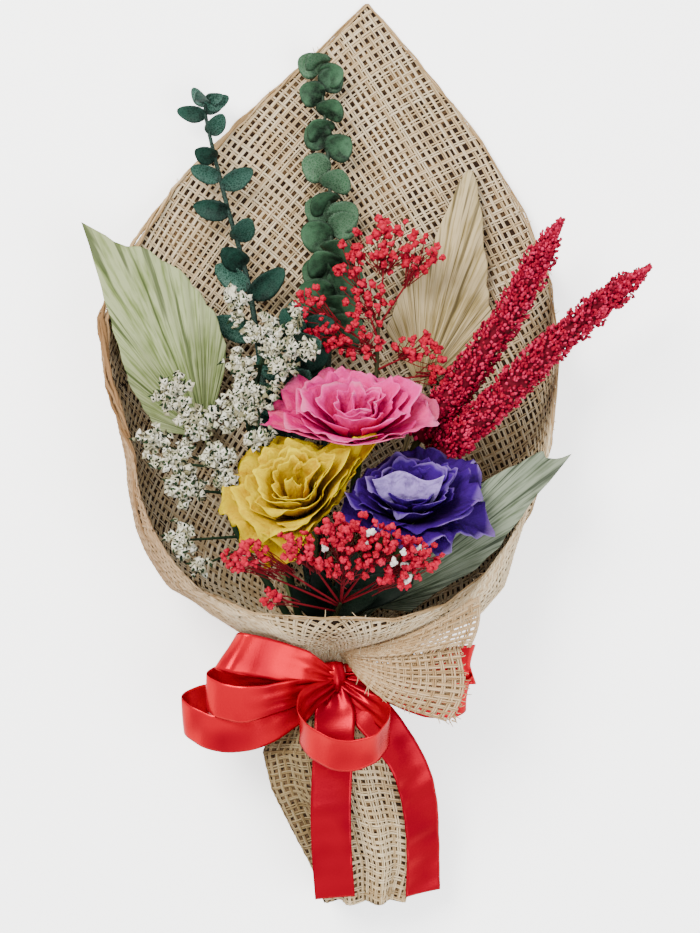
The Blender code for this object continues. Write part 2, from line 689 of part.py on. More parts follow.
def make_eucalyptus(name):
    """Eucalyptus: round leaves set close along a thin stem, smaller towards the tip."""
    stem = EUCALYPTUS[name]
    draw = random.Random(stem["seed"])
    x, z = bunch_place(*stem["place"])
    line = smooth_path([(x, WAIST_TOP_Y + 2, z)] + list(stem["onward"]), 200)
    pieces = [stem_tube(*stem["place"], stem["onward"], 2.2, 0.8, count=9)]
    turns = (-80, 78, -30, 40)
    for number in range(stem["leaves"]):
        share = stem["first"] + (1 - stem["first"]) * number / (stem["leaves"] - 1)
        index = min(int(share * 199), 197)
        root = line[index]
        along = unit(line[index + 1] - line[index])
        turn = math.radians(turns[number % 4] + draw.uniform(-10, 10))
        side = unit(np.cross(along, (0, 0, 1)))
        up = np.cross(side, along)
        out = side * math.sin(turn) + up * math.cos(turn)
        heading = out * 0.9 + along * draw.uniform(0.15, 0.5) + np.array((0, 0, 0.12))
        face = up * 1.0 - along * 0.45 + out * 0.1
        taper = number / (stem["leaves"] - 1)
        length = stem["sizes"][0] + (stem["sizes"][1] - stem["sizes"][0]) * taper
        pieces.append(leaf_piece(root - unit(heading) * 0.6, heading, face, length, length * 0.95))
    fuse(name, pieces, "eucalyptus")


def floret(centre, heading, size, sides=4):
    """Small open flower: a four sided double cone, wide and flat."""
    heading = unit(heading)
    side = unit(np.cross(heading, (0.3, 0.5, 0.81)))
    up = np.cross(heading, side)
    centre = np.array(centre)
    ring = []
    for corner in range(sides):
        turn = corner * 2 * math.pi / sides
        ring.append(tuple(centre + size * (side * math.cos(turn) + up * math.sin(turn))))
    points = ring + [tuple(centre + heading * size * 0.6), tuple(centre - heading * size * 0.75)]
    faces = []
    for corner in range(sides):
        after = (corner + 1) % sides
        faces += [(corner, after, sides), (after, corner, sides + 1)]
    return points, faces


# Flowering sprays: place in the bunch, route of the stem, clusters of florets.
# A cluster is the share of the route where its branch starts, its middle, its reach and its
# number of florets.
SPRAYS = {
    "gypsophila_upper": {
        "place": (1, 2), "onward": ((-14, -45, 19), (-4, 5, 24), (2, 30, 26), (4, 70, 27)),
        "clusters": ((1.0, (12, 108, 28), (17, 11, 7), 7), (0.97, (-9, 93, 30), (9, 9, 5), 4),
                     (0.93, (24, 98, 28), (9, 10, 6), 4), (0.9, (-24, 74, 27), (8, 10, 5), 4),
                     (0.85, (20, 60, 32), (12, 8, 6), 3)),
        "finish": "gypsophila", "size": 3.2, "seed": 12, "threaded": False,
    },
    "gypsophila_lower": {
        "place": (4, 1), "onward": ((-21, -90, 42), (-17, -78, 56), (-15, -72, 66)),
        "clusters": ((1.0, (-16, -48, 103), (13, 9, 6), 5), (0.97, (6, -48, 102), (12, 9, 6), 4),
                     (0.93, (24, -54, 96), (9, 7, 6), 4), (0.9, (-42, -52, 98), (10, 6, 6), 4),
                     (0.8, (-68, -52, 78), (10, 8, 6), 3), (0.85, (-48, -70, 84), (6, 5, 4), 2)),
        "finish": "gypsophila", "size": 3.2, "seed": 23, "threaded": False,
    },
    "statice_upper": {
        "place": (2, 0), "onward": ((-44, -50, 26), (-60, 0, 34), (-58, 30, 38), (-54, 50, 40)),
        "clusters": ((1.0, (-66, 74, 44), (6, 11, 4), 6), (0.98, (-52, 63, 46), (8, 7, 4), 3),
                     (0.93, (-38, 55, 46), (13, 10, 5), 6), (0.88, (-62, 37, 50), (10, 8, 5), 6)),
        "finish": "statice", "size": 3.9, "seed": 31, "threaded": True,
    },
    "statice_left": {
        "place": (3, 0), "onward": ((-48, -70, 38), (-66, -40, 48), (-74, -14, 52), (-78, 4, 54)),
        "clusters": ((1.0, (-96, 26, 52), (12, 8, 5), 6), (0.97, (-66, 20, 60), (14, 12, 5), 6),
                     (0.9, (-101, 4, 54), (9, 10, 5), 6), (0.85, (-82, -2, 60), (13, 9, 5), 6),
                     (0.7, (-92, -24, 58), (12, 9, 5), 6), (0.55, (-88, -47, 62), (8, 8, 5), 3)),
        "finish": "statice", "size": 3.9, "seed": 37, "threaded": True,
    },
}


def make_spray(name):
    """Spray of small flowers: a stem that branches to clusters of florets.

    Florets stand each on its own stalk, or three to a twig where the spray is threaded.
    """
    spray = SPRAYS[name]
    draw = random.Random(spray["seed"])
    size = spray["size"]
    x, z = bunch_place(*spray["place"])
    line = smooth_path([(x, WAIST_TOP_Y + 2, z)] + list(spray["onward"]), 100)
    pieces = [stem_tube(*spray["place"], spray["onward"], 2.1, 0.9, count=6)]
    for share, middle, reach, count in spray["clusters"]:
        root = line[int(share * 99)]
        middle = np.array(middle, float)
        sag = (root + middle) / 2 + (0, 0, 1.5)
        pieces.append(tube([tuple(root), tuple(sag), tuple(middle)], (0.8, 0.65, 0.6), 3))
        twigs = count // 3 if spray["threaded"] else count
        for number in range(twigs):
            height = 1 - 2 * (number + 0.5) / twigs
            turn = number * 2.4 + draw.uniform(-0.3, 0.3)
            level = math.sqrt(1 - height * height)
            way = np.array((level * math.cos(turn), level * math.sin(turn), height))
            offset = way * np.array(reach) * draw.uniform(0.85, 1.1)
            start = middle - offset if spray["threaded"] else middle
            end = middle + offset
            pieces.append(tube([tuple(start), tuple(end)], (0.5, 0.45), 3))
            for part in ((0.03, 0.5, 0.97) if spray["threaded"] else (1.0,)):
                spot = start + (end - start) * part
                heading = unit(offset * (part - 0.3) + (0, 0, 5))
                pieces.append(floret(spot, heading, size))
    fuse(name, pieces, spray["finish"], "MANIFOLD")


# Amaranth spikes: place in the bunch, route to the spike's foot, spike's route, radius
AMARANTHS = {
    "amaranth_upper": {
        "place": (1, 3), "onward": ((-2, -50, 20), (14, -15, 26)),
        "spike": ((24, 8, 32), (45, 35, 36), (70, 72, 40), (84, 98, 42), (96, 119, 43)),
        "radius": (8.0, 8.5, 7.5, 6.0, 1.8), "seed": 41,
    },
    "amaranth_lower": {
        "place": (2, 4), "onward": ((2, -50, 28), (18, -18, 34)),
        "spike": ((34, 0, 42), (60, 24, 47), (90, 54, 52), (118, 78, 55), (139, 94, 56)),
        "radius": (7.5, 8.0, 7.5, 6.0, 1.8), "seed": 43,
    },
}
SEED_CLUSTERS = 24


def make_amaranth(name):
    """Amaranth: a slim core covered with pointed seed clusters, on its stem."""
    plant = AMARANTHS[name]
    draw = random.Random(plant["seed"])
    line = smooth_path(plant["spike"], 60)
    radius = np.interp(np.linspace(0, 1, 60), np.linspace(0, 1, 5), plant["radius"])
    core = tube(line[::7], radius[::7] * 0.72, 6)
    stem = stem_tube(*plant["place"], list(plant["onward"]) + [plant["spike"][0], tuple(line[6])],
                     2.2, 1.8, count=7)
    pieces = [core, stem]
    for number in range(SEED_CLUSTERS):
        share = (number + 0.5) / SEED_CLUSTERS
        index = min(int(share * 59), 57)
        along = unit(line[index + 1] - line[index])
        side = unit(np.cross(along, (0, 0, 1)))
        up = np.cross(side, along)
        turn = number * 2.4 + draw.uniform(-0.2, 0.2)
        out = side * math.cos(turn) + up * math.sin(turn)
        reach = radius[index]
        root = line[index] + out * reach * 0.35
        tip = line[index] + out * reach * 1.15 + along * reach * 0.8
        wide = max(reach * 0.5, 1.1)
        pieces.append(tube([tuple(root), tuple(tip)], (wide, 0.4), 4))
    fuse(name, pieces, "amaranth", "MANIFOLD")


# Dark leaves below the roses: place in the bunch, route, leaves as root share and tip
FOLIAGE = {
    "place": (4, 0), "onward": ((-26, -92, 35), (-21, -79, 45), (-16, -67, 51)),
    "leaves": ((0.9, (8, -54, 58)), (0.75, (-28, -56, 60)), (0.6, (-38, -66, 58)),
               (0.98, (-8, -48, 58))),
}


def make_foliage():
    """Small dark foliage below the roses."""
    x, z = bunch_place(*FOLIAGE["place"])
    line = smooth_path([(x, WAIST_TOP_Y + 2, z)] + list(FOLIAGE["onward"]), 50)
    pieces = [stem_tube(*FOLIAGE["place"], FOLIAGE["onward"], 2.1, 1.0, count=6)]
    for share, tip in FOLIAGE["leaves"]:
        root = line[int(share * 49)]
        heading = np.array(tip) - root
        length = float(np.linalg.norm(heading))
        pieces.append(leaf_piece(root, heading, (0, 0, 1), length, length * 0.38))
    fuse("foliage_low", pieces, "stem")


def main():
    clear_scene()
    make_wrap()
    make_bow()
    for colour in ROSES:
        make_rose(colour)
    for name in PALMS:
        make_palm(name)
    for name in EUCALYPTUS:
        make_eucalyptus(name)
    for name in SPRAYS:
        make_spray(name)
    for name in AMARANTHS:
        make_amaranth(name)
    make_foliage()


main()
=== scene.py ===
# Bouquet of preserved flowers in an open burlap wrap, lying on its back on a pale table
import functools
import math
import random

import bpy
import numpy as np
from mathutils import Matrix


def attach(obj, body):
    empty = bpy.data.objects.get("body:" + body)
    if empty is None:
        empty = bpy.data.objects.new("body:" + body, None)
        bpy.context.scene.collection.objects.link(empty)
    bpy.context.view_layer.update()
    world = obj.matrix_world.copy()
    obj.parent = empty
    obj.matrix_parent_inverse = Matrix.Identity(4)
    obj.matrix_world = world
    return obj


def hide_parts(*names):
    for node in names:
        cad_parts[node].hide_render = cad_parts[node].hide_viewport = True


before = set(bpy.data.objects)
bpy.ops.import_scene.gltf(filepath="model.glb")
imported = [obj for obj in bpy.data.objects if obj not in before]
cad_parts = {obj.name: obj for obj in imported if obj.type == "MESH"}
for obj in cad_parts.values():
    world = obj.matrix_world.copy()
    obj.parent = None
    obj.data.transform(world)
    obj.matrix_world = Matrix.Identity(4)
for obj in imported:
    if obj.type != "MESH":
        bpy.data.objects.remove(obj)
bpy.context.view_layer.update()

# Everything below is drawn in millimetres in the CAD's own drawing frame, then moved and scaled
drawing = {"centre": (-1.8, 3, 0), "metres": 0.001}
view = {"place": (-10.5, -5.75, 1240), "lens": 61.74, "sensor": 24}
# The stage is lit bright enough to whiten the table, so every finish is drawn at this share
stage = {"dye": 0.55, "sky": 1.35, "key": 60, "fill": 26, "glow": 1.4}
waist = {"x": -22, "z": 20, "radius": 13.4, "topY": -104, "lowY": -116, "stemGap": 5}


def toMetres(points):
    return (np.asarray(points, float) - drawing["centre"]) * drawing["metres"]


def unitRows(vectors):
    return vectors / np.maximum(np.linalg.norm(vectors, axis=-1, keepdims=True), 1e-9)


# Values of several shapes, brought to one shape and stacked as the last axis
def spread(*values):
    return np.stack(np.broadcast_arrays(*values), -1)


# Length walked along a path up to each of its points
def alongPath(path):
    return np.concatenate([[0], np.cumsum(np.linalg.norm(np.diff(path, axis=0), axis=1))])


# Rows of a table read between its places in straight lines
def readOff(at, places, rows):
    return np.stack([np.interp(at, places, column) for column in np.transpose(rows)], -1)


# Catmull-Rom curve through the points, sampled at even shares of its parameter
def smoothPath(points, count):
    points = np.asarray(points, float)
    ends = np.vstack([2 * points[0] - points[1], points, 2 * points[-1] - points[-2]])
    share = np.linspace(0, len(points) - 1, count)
    start = np.minimum(share.astype(int), len(points) - 2)
    t = (share - start)[:, None]
    a, b, c, d = (ends[start + offset] for offset in range(4))
    return 0.5 * (2 * b + (c - a) * t + (2 * a - 5 * b + 4 * c - d) * t ** 2
                  + (3 * b - a - 3 * c + d) * t ** 3)


# Sum of a few slow sine waves over the coordinates, between about -1 and 1
def slowWaves(coordinates, seed, count=5):
    draw = np.random.default_rng(seed)
    total = 0.0
    for _ in range(count):
        heading = draw.normal(size=coordinates.shape[-1])
        total = total + np.sin(coordinates @ heading + draw.uniform(0, 6.28))
    return total / math.sqrt(count * 2)


# A part is its points in millimetres, its lists of faces, and two sets of numbers per point:
# tone (along, across, chance, kind) and flow (millimetres along and across, number)
def makePart(points, faces, tone, flow):
    return {"points": points.reshape(-1, 3), "faces": faces, "tone": tone.reshape(-1, 4),
            "flow": flow.reshape(-1, 3)}


# Thin closed sheet: the middle grid is moved half its thickness along its normal both ways
def sheetPart(middle, thickness, tone, flow, ring=False):
    rows, columns = middle.shape[:2]
    count = rows * columns
    index = np.arange(count).reshape(rows, columns)
    if ring:
        across = np.roll(middle, -1, axis=1) - np.roll(middle, 1, axis=1)
        index = np.hstack([index, index[:, :1]])
        edges = [(index[0, :-1], index[0, 1:]), (index[-1, 1:], index[-1, :-1])]
    else:
        across = np.gradient(middle, axis=1)
        walk = np.concatenate([index[0, :-1], index[:-1, -1], index[-1, :0:-1], index[:0:-1, 0]])
        edges = [(walk, np.roll(walk, -1))]
    normal = unitRows(np.cross(across, np.gradient(middle, axis=0)))
    normal = normal * (np.asarray(thickness)[..., None] / 2)
    a, b, c, d = index[:-1, :-1], index[:-1, 1:], index[1:, 1:], index[1:, :-1]
    top = np.stack([a, b, c, d], -1).reshape(-1, 4)
    low = np.stack([a, d, c, b], -1).reshape(-1, 4) + count
    i, j = np.hstack(edges)
    side = np.stack([j, i, i + count, j + count], 1)
    tone = np.broadcast_to(tone, (rows, columns, 4))
    return makePart(np.concatenate([middle + normal, middle - normal]), [np.concatenate([top, low, side])],
                    np.concatenate([tone, tone]), np.concatenate([flow, flow]))


# Faces between rings of points, with the first and the last ring closed
def ringFaces(count, sides):
    index = np.arange(count * sides).reshape(count, sides)
    after = np.roll(index, -1, axis=1)
    wall = np.stack([index[:-1], after[:-1], after[1:], index[1:]], -1).reshape(-1, 4)
    return [wall, np.stack([index[0, ::-1], index[-1]])]


# Round rod along a path: each ring lies square to the path, its first side square to the
# world axis that the path follows least. The tone's first number runs along the rod.
def tubePart(path, radii, sides, tone, chance=0.0):
    along = unitRows(np.gradient(path, axis=0))
    side = unitRows(np.cross(along, np.eye(3)[np.argmin(np.abs(along).sum(0))]))
    turn = np.arange(sides) * 2 * math.pi / sides
    ring = np.cos(turn)[:, None] * side[:, None] + np.sin(turn)[:, None] * np.cross(along, side)[:, None]
    tones = spread(np.linspace(0, 1, len(path))[:, None], np.full(sides, tone[1]), *tone[2:])
    flow = spread(alongPath(path)[:, None], turn * radii.mean(), chance)
    return makePart(path[:, None] + ring * radii[:, None, None], ringFaces(len(path), sides), tones, flow)


# Copies of one small shape: each copy's points are the shape's, carried by three axis vectors
def scatterPart(shape, origins, axes, tones):
    points, faces = shape
    number = np.arange(len(origins))[:, None, None]
    faces = [(block + number * len(points)).reshape(-1, block.shape[1]) for block in faces]
    tones = np.repeat(tones[:, None], len(points), 1)
    tones[..., 0] = points[:, 2]
    return makePart(origins[:, None] + np.einsum("kc,mcd->mkd", points, axes), faces, tones,
                    points * 3.0 + number * 7.3)


# Axis vectors for copies: the third lies along heading, the others square to it, spun and scaled
def axesAlong(headings, widths, lengths, spins=0.0):
    ahead = unitRows(headings)
    spare = np.where(np.abs(ahead[:, 2:]) < 0.8, (0.0, 0.0, 1.0), (1.0, 0.0, 0.0))
    side = unitRows(np.cross(ahead, spare))
    widths, lengths, spins = (np.broadcast_to(values, len(ahead))[:, None]
                              for values in (widths, lengths, spins))
    turned = side * np.cos(spins) + np.cross(ahead, side) * np.sin(spins)
    return np.stack([turned * widths, np.cross(ahead, turned) * widths, ahead * lengths], 1)


# Tones of scattered copies: two numbers by chance and the kind
def drawTones(draw, count, kind):
    return np.stack([np.zeros(count), draw.uniform(size=count), draw.uniform(size=count),
                     np.full(count, kind)], 1)


# Closed solid of rings about its own third axis: radius and height per ring, the radius of
# every corner waved by lobes
def turnedShape(profile, sides, lobes=0, depth=0.0):
    turn = np.arange(sides) * 2 * math.pi / sides
    wave = 1 + depth * np.cos(lobes * turn)
    rings = [spread(r * wave * np.cos(turn), r * wave * np.sin(turn), z) for r, z in profile]
    return np.concatenate(rings), ringFaces(len(profile), sides)


def addObject(name, data):
    item = bpy.data.objects.new(name, data)
    bpy.context.scene.collection.objects.link(item)
    return item


# A piece is named after its node: palm_spear_left is palmSpearLeft
def pieceName(node):
    first, *rest = node.split("_")
    return first + "".join(word.capitalize() for word in rest)


def makePiece(name, parts, finish, slotName, *nodes):
    corners, sizes, shift = [], [], 0
    for part in parts:
        for block in part["faces"]:
            corners.append((block + shift).ravel())
            sizes.append(np.full(len(block), block.shape[1]))
        shift += len(part["points"])
    corners, sizes = np.concatenate(corners), np.concatenate(sizes)
    points = toMetres(np.concatenate([part["points"] for part in parts]))
    mesh = bpy.data.meshes.new(name)
    mesh.vertices.add(len(points))
    mesh.vertices.foreach_set("co", points.ravel())
    mesh.loops.add(len(corners))
    mesh.loops.foreach_set("vertex_index", corners.astype(np.int32))
    mesh.polygons.add(len(sizes))
    mesh.polygons.foreach_set("loop_start", np.append(0, np.cumsum(sizes)[:-1]).astype(np.int32))
    mesh.update(calc_edges=True)
    mesh.validate()
    mesh.polygons.foreach_set("use_smooth", np.full(len(mesh.polygons), True))
    for key, form, field in (("tone", "FLOAT_COLOR", "color"), ("flow", "FLOAT_VECTOR", "vector")):
        numbers = mesh.attributes.new(key, form, "POINT")
        numbers.data.foreach_set(field, np.concatenate([part[key] for part in parts]).ravel())
    mesh.materials.append(finish)
    piece = addObject(name, mesh)
    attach(piece, "root")
    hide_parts(*nodes)
    print(f"{name}: {int((sizes - 2).sum())} triangles")
    return piece


# Finishes

def hexColour(text):
    values = [int(text[k:k + 2], 16) / 255 for k in (1, 3, 5)]
    linear = [v / 12.92 if v <= 0.04045 else ((v + 0.055) / 1.055) ** 2.4 for v in values]
    return (*(v * stage["dye"] for v in linear), 1.0)


# What sets some kinds of node apart: settings, the inputs that values fill, the output in use
nodeKinds = {
    "Math": {"settings": {"operation": "MULTIPLY_ADD"}},
    "Mix": {"settings": {"data_type": "RGBA"}, "inputs": (0, 6, 7), "output": 2},
    "TexWave": {"output": 1}, "LayerWeight": {"output": 1},
}


# Adds a node and gives its output: values fill its inputs in order, names with a capital fill
# inputs, other names are settings, stops fill a colour ramp, whose steps are sharp if stepped
def addNode(tree, kind, *values, stops=(), stepped=False, **named):
    made, special = tree.nodes.new("ShaderNode" + kind), nodeKinds.get(kind, {})
    fills = dict(zip(special.get("inputs", range(9)), values))
    for key, value in (special.get("settings", {}) | named).items():
        if key[0].isupper():
            fills[key] = value
        else:
            setattr(made, key, value)
    for key, value in fills.items():
        if isinstance(value, bpy.types.NodeSocket):
            tree.links.new(value, made.inputs[key])
        else:
            made.inputs[key].default_value = hexColour(value) if isinstance(value, str) else value
    if stops:
        ramp = made.color_ramp
        ramp.interpolation = "CONSTANT" if stepped else "LINEAR"
        while len(ramp.elements) < len(stops):
            ramp.elements.new(0.5)
        for element, (place, colour) in zip(ramp.elements, stops):
            element.position = place
            element.color = hexColour(colour) if isinstance(colour, str) else (*colour, 1.0)
    return made.outputs[special.get("output", 0)]


# Starts a material: gives it, a way to add nodes to it and the numbers that they read
def startFinish(name, roughness, gloss=0.1, others=None):
    finish = bpy.data.materials.new(name)
    finish.use_nodes = True
    inputs = finish.node_tree.nodes["Principled BSDF"].inputs
    for key, value in {"Roughness": roughness, "Specular IOR Level": gloss, **(others or {})}.items():
        inputs[key].default_value = value
    add = functools.partial(addNode, finish.node_tree)
    tone = add("Attribute", attribute_name="tone")
    flow = add("Attribute", attribute_name="flow").node.outputs["Vector"]
    along, across, chance = add("SeparateColor", tone).node.outputs
    return finish, add, {"along": along, "across": across, "chance": chance, "flow": flow,
                         "kind": tone.node.outputs["Alpha"], "place": add("TexCoord").node.outputs["Object"]}


# Ends a material: its colour and, where a height is given, its bump
def endFinish(finish, add, colour, height=None, strength=0.3, distance=0.0003):
    tree = finish.node_tree
    inputs = tree.nodes["Principled BSDF"].inputs
    tree.links.new(colour, inputs["Base Color"])
    if height is not None:
        tree.links.new(add("Bump", Strength=strength, Distance=distance, Height=height), inputs["Normal"])
    return finish


# Burlap: open weave jute, retted and spun rough, so it is matt, uneven in colour and hairy
burlap = {
    "pitch": 3.75, "pairGap": 0.98, "strandWidth": 0.98, "strandThick": 0.42, "crossRise": 0.19,
    "flatWidth": 500, "slopes": (47.5, 126.5), "footWidth": 204, "footSlopes": (4, 93), "flapWidth": 78,
    "clothThick": 1.2, "folds": 8, "underlayThick": 0.1,
    "light": "#f4e2c2", "middle": "#dcc29a", "dark": "#a88a62", "hole": "#2a1c12", "holeLight": "#6a5238",
}
# Kinds of yarn, which the finish tells apart
kinds = {"cloth": 0.0, "hem": 0.3, "flap": 0.5, "foot": 1.0}
# Sections of the wrap across Y: y, middle x, half width, underside z, height
sections = np.array((
    (-226, -3, 20, 0, 29), (-206, -4, 26, 0, 36), (-186, -9.5, 31, 0, 42), (-167, -16.5, 34, 0, 45),
    (-149, -21, 34, 0, 43), (-132, -22.5, 23, 2, 35), (-116, -22, 13.4, 6.6, 26.8),
    (-104, -22, 13.4, 6.6, 26.8), (-99.5, -21.5, 17, 4.5, 32), (-95.5, -20, 28, 1.5, 48),
    (-91.5, -18.5, 43, 0, 62), (-87, -17.5, 57, 0, 71), (-79, -17.5, 74, 0, 77), (-66, -20, 87, 0, 79),
    (-48, -22, 94, 0, 78), (-8, -21, 108, 0, 72), (50, -19, 116, 0, 60), (105, -17, 116, 0, 50),
    (234, -14, 116, 0, 40)))
# Edge of the wrap: share of the way round (minus is left, plus or minus 1 the front), x, y, z
rim = np.array(sorted((
    (0.06, -1.5, 233, 0), (-0.03, -25.5, 209.5, 0), (-0.17, -69, 170.5, 0), (-0.29, -101.5, 136, 6),
    (-0.38, -121, 106, 17), (-0.50, -134, 68, 40), (-0.59, -130, 30, 50), (-0.66, -123, -8, 55),
    (-0.73, -114, -40, 60), (-0.81, -88, -67, 67), (-0.89, -60, -77, 74), (-0.97, -25, -80, 77.5),
    (0.92, 11, -80, 76.5), (0.84, 36, -73, 66), (0.76, 61, -56, 50), (0.67, 79, -28, 43),
    (0.58, 90, 6, 38), (0.49, 95, 50, 28), (0.42, 92, 88, 13), (0.35, 79.5, 123.5, 5),
    (0.26, 57, 162, 2), (0.15, 24, 203.5, 0))))
# Millimetres by which the left wall is pressed in, by y
leftPress = np.array(((-102, 0), (-95, 3), (-87, 8), (-80, 11), (-73, 9.5), (-66, 6), (-51, 4.4), (-36, 2.5),
                      (-22, 3.8), (-14, 5.3), (-7, 7.4), (0, 7.2), (7, 6.3), (14, 4.8), (22, 3.9), (36, 0)))


# Point of the closed section at y: a flat bottomed oval walked from below by a share of its half
def sectionPoint(y, share):
    middle, half, under, height = (np.interp(y, sections[:, 0], sections[:, k]) for k in (1, 2, 3, 4))
    radius = np.minimum(half, height / 2)
    flat, wall, corner = half - radius, height - 2 * radius, radius * math.pi / 2
    way = np.abs(share) * (2 * flat + 2 * corner + wall)
    low = np.clip((way - flat) / radius, 0, math.pi / 2)
    high = np.clip((way - flat - corner - wall) / radius, 0, math.pi / 2)
    rest = np.maximum(way - flat - 2 * corner - wall, 0)
    x = np.minimum(way, flat) + radius * np.sin(low) - radius * (1 - np.cos(high)) - rest
    z = radius * (1 - np.cos(low)) + np.clip(way - flat - corner, 0, wall) + radius * np.sin(high)
    return spread(middle + np.copysign(x, share), y, under + z)


# Cloth above the waist: the section at y, pulled towards the edge by the square of the rise, with
# the left wall pressed in by the square of the way out to it
def wrapPoint(share, rise):
    around = np.vstack([rim[-1] - (2, 0, 0, 0), rim, rim[0] + (2, 0, 0, 0)])
    edge = readOff(share, around[:, 0], around[:, 1:])
    y = waist["topY"] + rise * (edge[..., 1] - waist["topY"])
    pull = edge - sectionPoint(edge[..., 1], share)
    points = sectionPoint(y, share) + pull * rise[..., None] ** 2
    middle, half = (np.interp(points[..., 1], sections[:, 0], sections[:, k]) for k in (1, 2))
    outward = np.clip((middle - points[..., 0]) / half, 0, 1) ** 2
    points[..., 0] += outward * np.interp(points[..., 1], *leftPress.T)
    return points


# Columns of a table are made even in length, so that its second index is a share of cloth length
def evenColumns(points, count):
    runs = [alongPath(row) for row in points]
    return np.array([readOff(np.linspace(0, run[-1], count), run, row) for run, row in zip(runs, points)])


def gridNormals(points):
    return unitRows(np.cross(np.gradient(points, axis=1), np.gradient(points, axis=0)))


# Cloth table: points and outward normals over share of the way round and share of the length,
# with the flat cloth's length at each place across it
def clothTable(points, width, slopes, kind, pitch):
    lengths = np.linalg.norm(np.diff(points, axis=1), axis=2).sum(1)
    if kind == kinds["flap"]:
        lengths = np.full(len(lengths), lengths.max())
    return {"points": points, "normals": gridNormals(points), "width": width, "slopes": slopes,
            "kind": kind, "pitch": pitch, "lengths": lengths,
            "grid": np.linspace(-width / 2, width / 2, len(lengths))}


# Gathers stand in and out along the normal as a cosine of the share, inwards where it is 1
def addFolds(points, depths, seed, softness):
    share = np.linspace(-1, 1, len(points))[:, None]
    depth = np.interp(points[..., 1], *depths) * np.cos(share * math.pi * burlap["folds"])
    waves = softness * slowWaves(points / 28.0, seed) - depth
    points = points + gridNormals(points) * waves[..., None]
    half = burlap["clothThick"] / 2
    points[..., 2] = np.maximum(points[..., 2] + half, half)
    return points


def makeClothTables():
    shares, rises = np.meshgrid(np.linspace(-1, 1, 201), np.linspace(0, 1, 161), indexing="ij")
    upper = evenColumns(wrapPoint(shares, rises ** 1.4), 141)
    upper = addFolds(upper, ((-104, -92, -60), (0, 1.2, 0)), 3, 0.7)
    shares, ys = np.meshgrid(np.linspace(-1, 1, 161), np.linspace(-226, -104, 61), indexing="ij")
    foot = addFolds(sectionPoint(ys, shares), ((-224, -150, -122, -114, -104), (2.5, 2.5, 1, 0, 0)), 5, 0.5)
    # The flap and its lapel are drawn between two edges, and swell out between them
    top, low, fold, under = (smoothPath(edge, 40) for edge in (
        [(-18, -99, 34), (-6, -99, 49), (14, -98, 60), (42.5, -93, 65)],
        [(-13, -103, 32.5), (-5, -111, 53), (10, -121.5, 62), (39, -130.5, 64)],
        [(-18, -98, 35), (-2, -95, 53), (24, -85, 68), (52, -68, 73)],
        [(-17, -99.5, 34.5), (-5, -100, 51), (15, -99, 62), (48, -94, 68)]))
    share, way = np.linspace(0, 1, 24)[None, :, None], np.linspace(0, 1, 40)[:, None, None]
    swell = np.sin(math.pi * share) * way * np.array((5, -2, 2))
    flap = low[:, None] + (top - low)[:, None] * share + swell
    flap = flap + np.array((0, 0, 1.2)) * slowWaves(flap / 14.0, 8)[..., None] * way
    lapel = under[:, None] + (fold - under)[:, None] * share + 0.4 * swell
    behind = flap * (0.985, 0.985, 1.0) - (0.6, 0.5, 1.7)
    wide, narrow = burlap["flatWidth"], burlap["flapWidth"]
    return {
        "upper": clothTable(upper, wide, burlap["slopes"], kinds["cloth"], burlap["pitch"]),
        "foot": clothTable(foot, burlap["footWidth"], burlap["footSlopes"], kinds["foot"], 3.7),
        "flap": clothTable(flap, narrow, (0, 90), kinds["flap"], 3.4),
        "flapBack": clothTable(behind, narrow, (5, 94), kinds["flap"], 3.6),
        "lapel": clothTable(lapel, narrow, (0, 90), kinds["flap"], 3.2),
    }


# Value of a table between its grid points, carried on in a straight line past its edges
def lookUp(table, share, rise):
    a, b = share * (table.shape[0] - 1), rise * (table.shape[1] - 1)
    i = np.clip(a.astype(int), 0, table.shape[0] - 2)
    j = np.clip(b.astype(int), 0, table.shape[1] - 2)
    a, b = (a - i)[:, None], (b - j)[:, None]
    return ((1 - a) * (1 - b) * table[i, j] + a * (1 - b) * table[i + 1, j]
            + (1 - a) * b * table[i, j + 1] + a * b * table[i + 1, j + 1])


